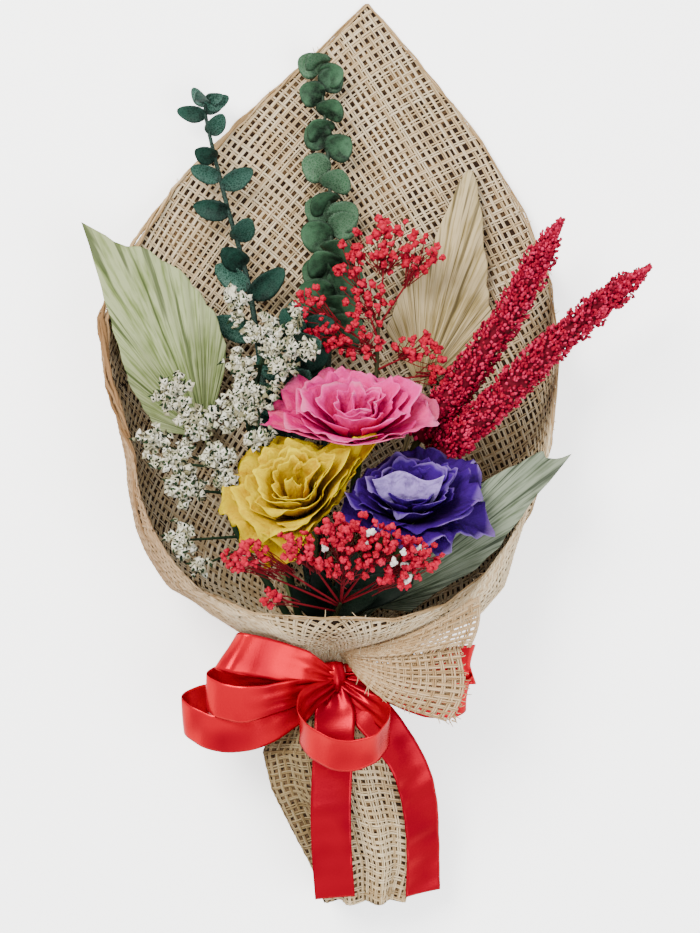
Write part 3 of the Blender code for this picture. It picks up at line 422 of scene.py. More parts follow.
# Straight lines of one thread family in the flat cloth, sampled where the other family crosses
# and clipped where they leave it. Gives flat points and over (1) or under (-1) for each run.
def threadRuns(cloth, family, draw):
    half, pitch = cloth["width"] / 2, cloth["pitch"]
    here, there = (math.radians(cloth["slopes"][k]) for k in (family, 1 - family))
    ahead = np.array((math.cos(here), math.sin(here)))
    square, other = (np.array((-math.sin(angle), math.cos(angle))) for angle in (here, there))
    corners = np.array([(x, y) for x in (-half, half) for y in (0, cloth["lengths"].max())])
    rows, columns = corners @ square / pitch, corners @ other / pitch
    crossings = np.arange(np.floor(columns.min()) - 1, np.ceil(columns.max()) + 2)
    runs = []
    for number in np.arange(np.floor(rows.min()), np.ceil(rows.max()) + 1):
        base = (number + draw.uniform(-0.11, 0.11)) * pitch * square
        away = (crossings * pitch - base @ other) / (ahead @ other)
        order = np.argsort(away)
        flat = base + away[order, None] * ahead
        # How far inside the cloth each crossing lies
        margin = np.minimum.reduce([half - np.abs(flat[:, 0]), flat[:, 1],
                                    np.interp(flat[:, 0], cloth["grid"], cloth["lengths"]) - flat[:, 1]])
        inside = np.concatenate([[0], margin >= 0, [0]]).astype(int)
        changes = np.flatnonzero(np.diff(inside))
        for start, stop in zip(changes[::2], changes[1::2]):
            if stop - start < 2:
                continue
            run = flat[start:stop]
            lift = np.where((crossings[order][start:stop] + number) % 2 == family, 1.0, -1.0)
            if start > 0:
                part = margin[start] / (margin[start] - margin[start - 1])
                run = np.vstack([run[0] + (flat[start - 1] - run[0]) * part, run])
                lift = np.append(0, lift)
            if stop < len(flat):
                part = margin[stop - 1] / (margin[stop - 1] - margin[stop])
                run = np.vstack([run, run[-1] + (flat[stop] - run[-1]) * part])
                lift = np.append(lift, 0)
            runs.append((run, lift))
    return runs, square


# Thread: a four sided spindle section carried along a run, on the cloth's table
def threadPart(cloth, run, lift, offset, width, tone, number):
    wander = 0.2 * np.stack([np.sin(run[:, 1] / 17 + number), np.sin(run[:, 0] / 13 - number)], 1)
    flat = run + offset + wander
    share = flat[:, 0] / cloth["width"] + 0.5
    rise = flat[:, 1] / np.interp(flat[:, 0], cloth["grid"], cloth["lengths"])
    normal = unitRows(lookUp(cloth["normals"], share, rise))
    centre = lookUp(cloth["points"], share, rise) + normal * (lift * burlap["crossRise"])[:, None]
    if cloth["kind"] != kinds["flap"]:
        centre[:, 2] = np.maximum(centre[:, 2], 0.32)
    side = unitRows(np.cross(normal, unitRows(np.gradient(centre, axis=0)))) * width / 2
    thick = normal * burlap["strandThick"] / 2
    points = np.stack([centre + side, centre + thick, centre - side, centre - thick], 1)
    flow = spread(alongPath(centre)[:, None], np.array((0, 1, 2, 1)) * width / 2, number * 3.7)
    return makePart(points, ringFaces(len(centre), 4), np.tile(tone, (len(centre) * 4, 1)), flow)


# Yarns lie in pairs, a gap apart, each strand as wide as it happens to be spun
def makeThreads(name, family, tables, finish):
    draw = np.random.default_rng(20 + family)
    parts = []
    for cloth in tables.values():
        runs, square = threadRuns(cloth, family, draw)
        for number, (run, lift) in enumerate(runs):
            gap = burlap["pairGap"] * draw.uniform(0.7, 1.35)
            for side in (-0.5, 0.5):
                width = burlap["strandWidth"] * draw.uniform(0.72, 1.3)
                tone = (0, draw.uniform(), draw.uniform(), cloth["kind"])
                offset = square * side * gap
                parts.append(threadPart(cloth, run, lift, offset, width, tone, number + side * 0.5))
    return makePiece(name, parts, finish, "burlap", "burlap_wrap")


# Second layer of the same cloth, seen through the holes of the first, coloured dark as painted shade
def makeShadeUnderlay(tables, finish):
    parts = []
    for cloth in (tables["upper"], tables["foot"]):
        # It hangs below the yarn, less so on the walls, which are seen from both sides
        hang = np.interp(cloth["normals"][..., 2], (-0.93, -0.8, 0.0, 0.25), (0.45, 0.08, 0.08, 0.45))
        middle = (cloth["points"] - hang[..., None] * (0, 0, 1)).transpose(1, 0, 2)
        rows, columns = middle.shape[:2]
        run = np.linspace(0, 1, rows)[:, None] * cloth["lengths"]
        flow = spread(np.linspace(0, cloth["width"], columns), run, cloth["kind"])
        # Every second row and column is enough, with the last column kept
        kept = np.append(np.arange(0, columns - 1, 2), columns - 1)
        parts.append(sheetPart(middle[::2, kept], burlap["underlayThick"], (0, 0, 0.5, cloth["kind"]),
                               flow[::2, kept]))
    return makePiece("burlapShadeUnderlay", parts, finish, "burlap", "burlap_wrap")


# Rolled hem: six loose yarns twisted round the cloth's edge, thickest on the left wall
def makeHem(tables, finish):
    edge = tables["upper"]["points"][:, -1]
    edge = np.vstack([edge, edge[:1]])
    run = alongPath(edge)
    yarns, steps = 6, 520
    even = np.linspace(0, run[-1], steps)
    path = readOff(even, run, edge)
    share = np.interp(even, run, np.linspace(-1, 1, len(edge)))
    thick = np.interp(share, (-1, -0.95, -0.72, -0.62, -0.5, -0.4, -0.05, 0.05, 0.3, 0.45, 0.8, 1),
                      (0.8, 0.6, 0.6, 1.7, 2.4, 1.6, 1.1, 0.8, 0.7, 0.7, 0.7, 0.8))
    along = unitRows(np.gradient(path, axis=0))
    up = unitRows(np.cross(along, (0.2, 0.1, 0.97)))
    out = np.cross(up, along)
    parts = []
    for number in range(yarns):
        turn = (even / 11.0 + number * 1.05 + 0.9 * np.sin(even / 17 + number * 2))[:, None]
        reach = thick * (0.8 + 0.3 * np.sin(even / 9 + number * 2.4))
        centre = path + (up * np.cos(turn) + out * np.sin(turn)) * reach[:, None]
        centre[:, 2] = np.maximum(centre[:, 2], 0.75)
        radii = thick * (0.42 + 0.1 * np.sin(even / 2.3 + number * 2)
                         + 0.06 * np.sin(even * 1.7 + number * 5))
        parts.append(tubePart(centre, radii, 5, (0, 0.3, 0.15 * number, kinds["hem"]), number * 5.0))
    return makePiece("burlapHem", parts, finish, "burlap", "burlap_wrap")


# Frayed yarn ends: short bent rods that leave the cloth's cut edges. A place is its cloth, share
# and rise, the heading of the end and its length.
def makeFray(tables, finish):
    draw = np.random.default_rng(31)
    flap, upper = tables["flap"], tables["upper"]
    places = [(flap, draw.uniform(0.25, 1.0), draw.uniform(-0.01, 0.1), (0.3, -1.0, 0.1), 2.2)
              for _ in range(40)]
    places += [(flap, 1.0, draw.uniform(), (1.0, -0.1, 0.0), 1.8) for _ in range(30)]
    places += [(upper, draw.choice((draw.uniform(0.0, 0.12), draw.uniform(0.8, 1.0))),
                draw.uniform(0.1, 0.5), (0.1, -0.5, 0.9), 3.5) for _ in range(24)]
    places += [(upper, draw.uniform(), 1.0, (0.0, 0.0, 0.4), 3.0) for _ in range(70)]
    t, radii = np.linspace(0, 1, 6)[:, None], np.linspace(0.3, 0.16, 6)
    parts = []
    for cloth, share, rise, heading, length in places:
        spot = lookUp(cloth["points"], np.array([share]), np.array([rise]))[0]
        way = heading + draw.normal(size=3) * 0.45
        bend = draw.normal(size=3) * 0.5
        path = spot + (way * t + bend * t ** 2) * length * draw.uniform(0.5, 1.2)
        path[:, 2] = np.maximum(path[:, 2], 0.4)
        parts.append(tubePart(path, radii, 4, (0, 0.5, draw.uniform(), cloth["kind"])))
    return makePiece("burlapFray", parts, finish, "burlap", "burlap_wrap")


# Jute yarn: fibres run along the thread, each thread its own shade from pale straw to tan
def juteFinish():
    finish, add, read = startFinish("woven jute yarn", 0.88)
    fibres = add("Mapping", read["flow"], Scale=(0.35, 5, 1))
    hairs = add("TexNoise", fibres, Scale=1, Detail=3)
    patches = add("TexNoise", read["place"], Scale=38, Detail=2)
    sway = add("Math", read["chance"], 0.55, operation="MULTIPLY")
    both = add("Math", patches, 0.35, add("Math", hairs, 0.35, sway))
    shade = add("ValToRGB", both,
                stops=((0.15, burlap["dark"]), (0.5, burlap["middle"]), (0.85, burlap["light"])))
    # The rolled edge is browner, then the flap, the foot only a little
    partTint = add("ValToRGB", read["kind"], stepped=True,
                 stops=((0.0, (1.0, 0.97, 0.92)), (0.2, (0.74, 0.63, 0.5)), (0.4, (0.8, 0.68, 0.56)),
                        (0.75, (1.0, 0.95, 0.84))))
    toned = add("Mix", 1.0, shade, partTint, blend_type="MULTIPLY")
    # The left wall is browner towards its edge, its own brown with painted shade, and the foot's left side
    # is darkened grey as painted shade
    spot = add("SeparateXYZ", read["place"]).node.outputs
    # Partly the cloth's own brown, partly painted shade on the left wall's upper part
    raised = add("MapRange", spot[2], 0.018, 0.045, 0, 1)
    leftward = add("MapRange", spot[0], -0.105, -0.05, 1, 0)
    wallBrownAndShade = add("Math", raised, leftward, operation="MULTIPLY")
    wallBrownedAndShaded = add("Mix", wallBrownAndShade, toned, (0.6, 0.5, 0.44, 1.0), blend_type="MULTIPLY")
    # Painted shade: the foot's left side, which curves away, is darkened grey
    left = add("MapRange", spot[0], -0.026, -0.012, 1, 0)
    foot = add("Math", read["kind"], 0.75, operation="GREATER_THAN")
    footLeftShade = add("Math", left, foot, operation="MULTIPLY")
    footLeftShaded = add("Mix", footLeftShade, wallBrownedAndShaded, (0.42, 0.4, 0.34, 1.0), blend_type="MULTIPLY")
    return endFinish(finish, add, footLeftShaded, hairs, 0.5)


# The layer behind: the same lattice shifted and painted dark as shade, so its threads show only here and
# there
def shadeUnderlayFinish():
    finish, add, read = startFinish("shaded jute layer", 0.95)
    bands = []
    for slope in burlap["slopes"]:
        turned = add("Mapping", read["flow"], Rotation=(0, 0, -math.radians(slope - 2.5)), Scale=(1, 1, 0))
        bands.append(add("TexWave", turned, Scale=0.314 / burlap["pitch"] * 1.06, Distortion=0.8, Detail=1,
                         wave_type="BANDS", bands_direction="Y"))
    most = add("Math", *bands, operation="MAXIMUM")
    patches = add("TexNoise", read["place"], Scale=60, Detail=2)
    mixed = add("Math", most, patches, operation="MULTIPLY")
    # The painted shade is lighter under the foot
    lifted = add("Math", read["kind"], 0.16, mixed)
    shade = add("ValToRGB", lifted, stops=((0.36, burlap["hole"]), (0.6, burlap["holeLight"])))
    return endFinish(finish, add, shade)


print("burlap")
clothTables = makeClothTables()
jute, shadedJute = juteFinish(), shadeUnderlayFinish()
risingThreads = makeThreads("burlapRisingThreads", 0, clothTables, jute)
fallingThreads = makeThreads("burlapFallingThreads", 1, clothTables, jute)
shadeUnderlay = makeShadeUnderlay(clothTables, shadedJute)
hem = makeHem(clothTables, jute)
fray = makeFray(clothTables, jute)


# Ribbon: red satin, one long strip tied round the waist, its loops and tails in double folds
# Of the colours, turned is painted shade on faces seen edge-on, and deep is also painted on the tails as
# shade
ribbon = {
    "half": 10.0, "thick": 0.4, "knot": (-18.5, -111.0, 41.6), "knotAndTurn": 150.0, "tails": 0.7,
    "red": "#e80028", "deep": "#980020", "turned": "#84001a",
}
# Loops and tails: centre points, width directions, half widths
level, tilted, rolled, leaning = (0, 1, 0), (0, 0.93, 0.37), (0, 0.8, 0.6), (0.6, 0.8, 0)
loops = {
    "upper": (((-19, -111, 45), (-34, -105, 57), (-52, -99.5, 65), (-64, -97, 67), (-70, -96.5, 63),
               (-70, -98, 58), (-62, -100.5, 54), (-45, -104.5, 50), (-21, -111, 42)),
              ((0.2, 1, 0), (0.35, 0.9, 0), (0.5, 0.86, 0)) + (leaning,) * 4 + ((0.4, 0.9, 0), (0.2, 1, 0)),
              (3, 9, 10, 10, 10, 10, 10, 8, 3)),
    "middle": (((-21, -112.5, 44), (-40, -118, 58), (-62, -122.5, 62), (-76, -120.5, 57),
                (-81.5, -117, 50), (-74, -113.5, 43.5), (-54, -111.5, 41), (-23, -112, 41)),
               (level,) + (tilted,) * 5 + ((0, 0.97, 0.2), level),
               (3, 8, 10, 10, 10, 10, 8, 3)),
    "lower": (((-21, -114, 42), (-37, -126, 48), (-56, -136, 51), (-75, -138.5, 50),
               (-89, -134, 44), (-93.5, -129, 37), (-84, -124.5, 32), (-60, -121, 33), (-24, -114, 39)),
              ((0.3, 1, 0), (0.3, 0.9, 0.2), (0.1, 0.93, 0.35)) + (tilted,) * 4
              + ((0.1, 0.95, 0.2), (0.3, 1, 0)),
              (3, 9, 10, 10, 10, 10, 10, 8, 3)),
    "middleFront": (((-19, -114, 46), (-32, -122, 60), (-35, -133, 72), (-25, -142, 80),
                     (-12, -145.5, 82), (2, -142, 78), (9, -133, 64), (3, -126, 51), (-15, -114, 43.5)),
                    ((-0.6, 0.8, 0.2), (-0.2, 0.85, 0.5)) + (rolled,) * 5
                    + ((0.2, 0.85, 0.5), (0.6, 0.8, 0.2)),
                    (3, 8, 10, 10, 10, 10, 10, 8, 3)),
    "right": (((-16, -112, 42), (6, -115.5, 43), (28, -121.5, 45), (43, -122, 43),
               (48.5, -118.5, 37), (41, -114.5, 33), (22, -112.5, 31), (-13, -112, 37.5)),
              (level, (0.2, 0.93, 0.37), (0.3, 0.93, 0.37)) + ((0.1, 0.93, 0.37),) * 3
              + ((0, 0.95, 0.3), level),
              (3, 8, 10, 10, 10, 10, 8, 3)),
    "rightUpper": (((-16, -112, 41), (8, -109, 40), (30, -105, 42), (45, -104, 43),
                    (50, -105, 38), (42, -106.5, 33), (22, -109, 30), (-13, -112, 36.5)),
                   (level,) + (tilted,) * 5 + ((0, 0.95, 0.3), level),
                   (2, 4, 8, 10, 10, 10, 5, 2)),
    "tailLeft": (((-19, -113, 43), (-18, -128, 49), (-19, -150, 52), (-20, -175, 51),
                  (-19.5, -200, 44), (-18, -222, 37)),
                 ((1, 0.1, 0), (1, 0.1, 0), (1, 0, 0), (1, 0, 0), (1, 0, 0), (1, 0.05, 0)),
                 (5, 10, 10, 10, 10, 10)),
    "tailRight": (((-14, -113, 42), (-3, -125, 46), (9, -139, 48), (19, -155, 46),
                   (24, -172, 39), (26, -190, 32), (26.5, -207, 27), (26.5, -222, 23)),
                  ((0.8, 0.5, 0), (0.85, 0.5, -0.1), (0.88, 0.35, -0.3)) + ((0.84, 0.2, -0.48),) * 5,
                  (5, 10, 10, 10, 10, 10, 10, 10)),
}


# Strip along a smoothed path: its width is turned and narrowed along the way, and where it is
# narrow it lies in pleats, a sine across the width whose depth is the width that was lost
def ribbonStrip(centres, widths, halves, number):
    share, across = np.linspace(0, 1, 84), np.linspace(-1, 1, 15)
    path, turn = smoothPath(centres, len(share)), smoothPath(widths, len(share))
    half = np.interp(share, np.linspace(0, 1, len(halves)), halves)[:, None]
    tangent = unitRows(np.gradient(path, axis=0))
    turn = unitRows(turn - tangent * (turn * tangent).sum(1, keepdims=True))
    lost = np.clip(1 - half / ribbon["half"], 0, 1)
    run = alongPath(path)[:, None]
    pleat = 2.2 * lost * np.sin(across * 7.5 + number) + 0.35 * np.sin(run / 9 + across * 1.5 + number * 2)
    # Soft creases across the strip, which the satin turns into bright and dark bars
    pleat = pleat + 0.5 * (1 - across ** 2)
    pleat = pleat + 0.28 * np.sin(run / 2.3 + across * 0.8) * np.sin(run / 9.7 + number * 1.9)
    middle = path[:, None] + turn[:, None] * (half * across)[..., None]
    middle = middle + np.cross(turn, tangent)[:, None] * pleat[..., None]
    tone = spread(share[:, None], np.abs(across), number / len(loops), 0)
    return sheetPart(middle, ribbon["thick"], tone, spread(run, across * ribbon["half"], number)), run[-1, 0]


# The knot is a short length of the ribbon drawn over the middle in soft pleats
def knotPart():
    turn, rise = np.linspace(0, 2 * math.pi, 40, endpoint=False), np.linspace(-1, 1, 13)[:, None]
    reach = 5.6 * (1 - 0.35 * np.abs(rise) ** 2.2) + 0.35 * np.sin(turn * 7 + rise * 1.5)
    middle = spread(reach * np.sin(turn) * 1.05, rise * 7.5, reach * np.cos(turn)) + ribbon["knot"]
    return sheetPart(middle, ribbon["thick"], (0.5, 0.5, 0.5, 0), spread(rise * 7, turn * 5, 40), True)


def bandPart():
    turn = np.linspace(0, 2 * math.pi, 72, endpoint=False)
    rise = np.linspace(waist["lowY"] + 1, waist["topY"] - 1, 13)[:, None]
    reach = waist["radius"] + 1.6 + 0.35 * np.cos(rise * 2.2 + np.sin(turn) * 1.5)
    middle = spread(waist["x"] + reach * np.sin(turn), rise, waist["z"] + 0.6 - reach * np.cos(turn))
    return sheetPart(middle, ribbon["thick"], (0.5, 0.5, 0.3, 0), spread(turn * 15, rise, 60), True)


# Woven satin: fine threads across a smooth face, bright where it turns to the light
def satinFinish():
    finish, add, read = startFinish("woven satin ribbon", 0.25, 0.05, {
        "Metallic": 0.45, "Specular Tint": (1.0, 0.16, 0.13, 1.0), "Anisotropic": 0.5})
    # The threads are drawn at half a millimetre, coarser than real ones, to show at this size
    stretched = add("Mapping", read["flow"], Scale=(2, 0.15, 1))
    threads = add("TexNoise", stretched, Scale=1, Detail=2)
    broad = add("TexNoise", read["place"], Scale=45, Detail=1)
    plain = add("Mix", add("MapRange", broad, 0.25, 0.6, 0.15, 1), ribbon["deep"], ribbon["red"])
    # Painted shade: the red darkens to the turned colour where the strip is seen edge-on
    turned = add("Mix", add("LayerWeight", 0.25), plain, ribbon["turned"])
    # The two tails, last of the strips, are darkened towards the deep red: painted shade on the same satin
    isTail = add("Math", read["chance"], ribbon["tails"], operation="GREATER_THAN")
    tailsShaded = add("Mix", add("Math", isTail, 0.7, operation="MULTIPLY"), turned, ribbon["deep"])
    return endFinish(finish, add, tailsShaded, threads, 0.25, 0.0002)


print("ribbon")
strips = [ribbonStrip(*loop, number) for number, loop in enumerate(loops.values())]
bow = makePiece("satinRibbon", [part for part, _ in strips] + [knotPart(), bandPart()], satinFinish(),
                "ribbon", "ribbon_bow", "ribbon_band")


# Points of a stem's path between its cut end and the waist
bunchSteps = 8


# Stem's path from its cut end: its place in the bunch is a row, 0 the lowest, and a column from
# the left, in a triangular grid of five rows; then it goes onward through the points given
def bunchPath(row, column, onward, count, trim=0.0):
    places = 5 - abs(row - 2)
    x = waist["x"] + (column - (places - 1) / 2) * waist["stemGap"]
    z = waist["z"] + 0.6 + (row - 2) * waist["stemGap"] * math.sqrt(0.75)
    free = smoothPath([(x, waist["topY"] + 2, z)] + list(onward), count)
    low = [(x + 13, trim - 216, z - 2), (x + 6.5, -166, z - 1), (x, waist["lowY"], z)]
    low = smoothPath(low, bunchSteps)
    return np.vstack([low, free])


# The route of a plant's stem beyond the waist
def freePath(plant, count):
    return bunchPath(*plant["place"], plant["onward"], count)[bunchSteps:]


# Stem: thick in the bunch and tapering beyond the waist
def stemPart(place, onward, radius, tip, count=26):
    path = bunchPath(*place, onward, count, (place[0] * 3 + place[1] * 5) % 7 - 3.0)
    radii = np.append(np.full(bunchSteps, radius), np.linspace(radius, tip, count))
    return tubePart(path, radii, 8, (0, 0.5, 0.5, 0.0), place[0] * 5 + place[1])


# Green stem: ribs run along it, streaked dark and light green
def stemFinish(name, dark, light):
    finish, add, read = startFinish(name, 0.6)
    streaks = add("TexNoise", add("Mapping", read["flow"], Scale=(0.05, 1.6, 1)), Scale=1, Detail=3)
    return endFinish(finish, add, add("ValToRGB", streaks, stops=((0.3, dark), (0.7, light))), streaks)


# Roses: place in the bunch, cup base, axis, radius, petals' first turn; colours from the petal's
# foot, darkened as painted shade deep in the cup, to its rim, the stronger dye and how far it has
# run, the shade of the outer petals and where it starts, the rim's and the heart's pale shade, light
# through the petal; stretch of the outline by direction, and shift of the heart
roses = {
    "pink": {"place": (2, 2), "base": (-8, 4, 50), "axis": (0, 0.82, 0.57), "radius": 41, "first": 3.0,
             "seed": 11, "colours": ("#b80058", "#ff0c7c", "#ff3c9c"), "blush": "#dc0070", "run": 1.1,
             "outer": "#ff6c86", "outerFrom": 0.74, "pale": "#ff96b8", "heart": 0.0, "rim": 0.45,
             "glow": (1.0, 0.25, 0.5), "soft": 0.3, "shift": (2, -1),
             "stretch": ((0, 1.18), (60, 1.05), (110, 1.12), (180, 1.16), (225, 1.12), (300, 1.1))},
    "yellow": {"place": (3, 1), "base": (-34, -29, 60), "axis": (-0.2, 0.42, 0.88), "radius": 38,
               "first": 4.3, "seed": 17,
               "colours": ("#8c5c00", "#e0b000", "#f0cc00"), "blush": "#b87e00", "run": 0.0,
               "outer": "#deb000", "outerFrom": 0.7, "pale": "#f8e000", "heart": 0.0, "rim": 0.4,
               "glow": (1.0, 0.7, 0.1), "soft": 0.3, "shift": (2, 9),
               "stretch": ((0, 0.95), (20, 1.3), (36, 1.9), (52, 1.25), (70, 1.0), (115, 1.08), (180, 1.05),
                           (245, 1.12), (300, 0.9))},
    "purple": {"place": (3, 3), "base": (17, -33, 59), "axis": (0.08, 0.60, 0.80), "radius": 36,
               "first": 5.5, "seed": 23,
               "colours": ("#0e001a", "#2c024e", "#400884"), "blush": "#180030", "run": 0.0,
               "outer": "#320266", "outerFrom": 0.5, "pale": "#ac92dc", "heart": 1.0, "rim": 0.5,
               "glow": (0.6, 0.2, 1.0), "soft": 0.08, "shift": (-1, 8),
               "stretch": ((0, 1.3), (50, 1.12), (110, 1.1), (180, 1.22), (250, 1.0), (310, 1.14))},
}
# Faces where neighbouring blooms press on each other: point, direction into the bloom
pressed = {
    "pink": (((-30, 9, 70), (0.31, 0.95, 0)), ((10, 9, 70), (-0.26, 0.96, 0))),
    "yellow": (((-30, 8, 70), (-0.31, -0.95, 0)), ((-10, -20, 75), (-0.84, 0.37, -0.3))),
    "purple": (((10, 8, 70), (0.26, -0.96, 0)), ((-9, -20, 75), (0.84, -0.37, 0.3))),
}
petal = {"count": 22, "rows": 20, "columns": 33, "thick": 0.35, "goldenTurn": math.radians(137.5)}


# Points are pushed softly to the inner side of each pressed face
def pressPoints(points, faces, softness=4.0):
    for origin, inward in faces:
        inward = unitRows(np.array(inward))
        depth = (points - origin) @ inward
        points = points + (softness * np.logaddexp(0, depth / softness) - depth)[..., None] * inward
    return points


# Rose petal on a nested cup: shell 0 is the heart and 1 the outermost cup. The petal leans from
# the axis by an angle that grows along its length, its half width is an angle about the axis.
# The rim is notched, thrown into frills and rolled outwards; frills are sines across the petal
# that grow with the cube of the level, along the petal's own normal.
def petalGrid(radius, shell, turn, draw):
    rise = np.linspace(0, 1, petal["rows"])[:, None] ** 0.85
    across = np.linspace(-1, 1, petal["columns"])[None, :]
    notch = 0.10 * np.exp(-((across - draw.uniform(-0.5, 0.5)) / 0.16) ** 2) * draw.uniform(0.0, 1.4)
    ragged = 0.025 * np.sin(across * draw.uniform(4, 8) + turn * 7)
    level = rise * (1 - 0.2 * np.abs(across) ** 3 - (notch + ragged) * rise ** 4)
    first = math.radians(12 + 46 * shell + draw.uniform(-5, 5))
    last = math.radians(-10 + 98 * shell ** 0.8 + draw.uniform(-22, 8))
    length = radius * (0.70 + 0.17 * shell) * draw.uniform(0.9, 1.08)
    steps = level[..., None] * (np.arange(16) + 0.5) / 16
    curl = np.clip((steps - 0.82) / 0.18, 0, 1) ** 2 * (0.4 + 0.9 * shell)
    rolled = curl * (1 + 0.7 * np.sin(across * 5 + turn * 2))[..., None]
    lean = first + (last - first) * steps ** 1.6 + rolled
    out = (np.sin(lean).mean(-1) * level) * length + radius * (0.05 + 0.12 * shell)
    up = (np.cos(lean).mean(-1) * level) * length + radius * 0.05
    half = min(1.7, 0.42 / (0.16 + 0.55 * shell) + 0.28) * draw.uniform(0.85, 1.1)
    angle = turn + across * half * (0.7 + 0.3 * level)
    lobes, size = draw.uniform(5.0, 9.0), radius * (0.028 + 0.054 * shell)
    frill = level ** 3 * (np.sin(across * lobes + turn * 5) + 0.5 * np.sin(across * lobes * 2.1 + turn * 11)
                          + 0.32 * np.sin(across * lobes * 3.7 + level * 5 + turn * 3))
    crumple = slowWaves(spread(level * 5.5, across * (2.5 + 4 * shell)), int(turn * 100))
    wave = size * frill + radius * (0.035 * np.sin(across * 5 + level * 6 + turn * 4)
                                    + (0.012 + 0.03 * shell) * crumple) * level
    up = up + wave * np.sin(lean[..., -1])
    out = out + wave * np.cos(lean[..., -1])
    return spread(out * np.cos(angle), out * np.sin(angle), up), level, across


# The bloom's outline seen from above is stretched by direction, its heart is shifted
def shapeBloom(points, rose):
    middle = (rose["base"] + unitRows(np.array(rose["axis"])) * rose["radius"] * 0.45)[:2]
    offset = points[..., :2] - middle
    angles, gains = np.array(rose["stretch"]).T
    heading = np.degrees(np.arctan2(offset[..., 1], offset[..., 0])) % 360
    gain = np.interp(heading, np.append(angles, 360), np.append(gains, gains[0]))
    blend = np.clip(np.linalg.norm(offset, axis=-1) / rose["radius"], 0, 1) ** 1.2
    height = np.clip((points[..., 2] - rose["base"][2]) / 30.0, 0, 1)
    moved = middle + offset * (1 + (gain - 1) * blend)[..., None]
    moved = moved + np.array(rose["shift"]) * height[..., None]
    return np.concatenate([moved, points[..., 2:]], -1)


# Pale petal that stands open in the heart of the purple bloom, between two side edges
def heartPetal(left, right, sag, chance):
    rise, across = np.linspace(0, 1, 22)[:, None], np.linspace(-1, 1, 29)[None, :]
    middle = (smoothPath(left, 22)[:, None] * (1 - across[..., None]) / 2
              + smoothPath(right, 22)[:, None] * (1 + across[..., None]) / 2)
    bow = sag * (1 - across ** 2) * (0.4 + 0.6 * rise) + 0.7 * rise ** 3 * np.sin(across * 9 + 1)
    peak = 2.2 * rise ** 3 * (np.cos(across * 4.2 + 0.9) - 0.3)
    tone = spread(0.55 + 0.42 * rise, np.abs(across), chance, 0)
    flow = spread(rise * 25, across * 16, chance * 40)
    return sheetPart(middle + spread(0, peak, -bow), petal["thick"], tone, flow)


def toAxis(points, base, axis):
    axis = unitRows(np.array(axis))
    side = unitRows(np.cross((0, 1, 0.2), axis))
    return base + points @ np.array([side, np.cross(axis, side), axis])


def makeRose(colour):
    rose = roses[colour]
    draw = np.random.default_rng(rose["seed"])
    parts = []
    for number in range(petal["count"]):
        shell = 0.05 + 0.95 * (number / (petal["count"] - 1)) ** 0.85
        turn = rose["first"] + number * petal["goldenTurn"]
        middle, level, across = petalGrid(rose["radius"], shell, turn, draw)
        middle = pressPoints(toAxis(middle, rose["base"], rose["axis"]), pressed[colour])
        tone = spread(level, np.abs(across), draw.uniform(), shell)
        flow = spread(level * 30, across * 20 * (0.3 + shell), number * 9.1)
        # The open pale petal takes the place of the first three
        if not rose["heart"] or number > 2:
            thickness = petal["thick"] * (1 - 0.6 * level ** 6)
            parts.append(sheetPart(shapeBloom(middle, rose), thickness, tone, flow))
    if rose["heart"]:
        parts.append(heartPetal([(12, -28, 73), (4, -20, 82), (0, -9, 88)],
                                [(24, -30, 73), (31, -21, 82), (35, -10, 87)], 5.0, 0.3))
    makePiece(f"rosePetals{colour.capitalize()}", parts, petalFinish(colour), f"petal_{colour}",
              f"rose_bloom_{colour}")


# Preserved petal: soft, slightly waxy, veins fan up it, blotched with a stronger dye and pale
# where the rim has dried
def petalFinish(colour):
    rose = roses[colour]
    finish, add, read = startFinish(f"preserved {colour} petal", 0.65, 0.06, {
        "Subsurface Weight": rose["soft"], "Subsurface Scale": 0.004, "Subsurface Radius": rose["glow"]})
    # Painted shade: the darker foot colour stands for shade deep in the cup
    base = add("ValToRGB", read["along"], stops=tuple(zip((0.25, 0.6, 0.93), rose["colours"])))
    shaded = add("Mix", add("MapRange", read["kind"], rose["outerFrom"], 1, 0, 0.8), base, rose["outer"])
    opened = add("Mix", add("MapRange", read["kind"], 0, 0.04, rose["heart"], 0), shaded, rose["pale"])
    blotch = add("TexNoise", read["flow"], Scale=0.16, Detail=4, Roughness=0.6, Distortion=0.6)
    amount = add("MapRange", blotch, 0.46, 0.7, 0, 0.75)
    # The stronger dye has run further on one side of the bloom
    spot, middle = add("SeparateXYZ", read["place"]), rose["base"][0]
    side = add("MapRange", spot, (middle - 32) / 1000, (middle - 2) / 1000, rose["run"], 0)
    dyed = add("Mix", add("Math", blotch, side, amount, use_clamp=True), opened, rose["blush"])
    edged = add("Mix", add("MapRange", read["along"], 0.93, 1, 0, rose["rim"]), dyed, rose["pale"])
    veins = add("TexNoise", add("Mapping", read["flow"], Scale=(0.06, 0.9, 1)), Scale=1, Detail=3)
    crinkle = add("TexNoise", read["flow"], Scale=0.28, Detail=4, Roughness=0.6)
    return endFinish(finish, add, edged, add("Math", crinkle, 2.4, veins), 0.55, 0.001)


print("roses")
greenStem = stemFinish("dried green stem", "#26301a", "#5b6a3a")
for colour, rose in roses.items():
    makeRose(colour)
    # The stem ends in its calyx below the cup
    base, axis = np.array(rose["base"]), unitRows(np.array(rose["axis"]))
    path = bunchPath(*rose["place"], [base - axis * 22, base - axis * 5.4], 24)
    path = np.vstack([path, base - axis * 3.2, base - axis * 0.3])
    radii = np.append(np.full(len(path) - 3, 2.3), (2.6, 5.4, 6.6))
    makePiece(f"roseStem{colour.capitalize()}", [tubePart(path, radii, 10, (0, 0.5, 0.5, 0))], greenStem,
              "stem", f"rose_stem_{colour}")


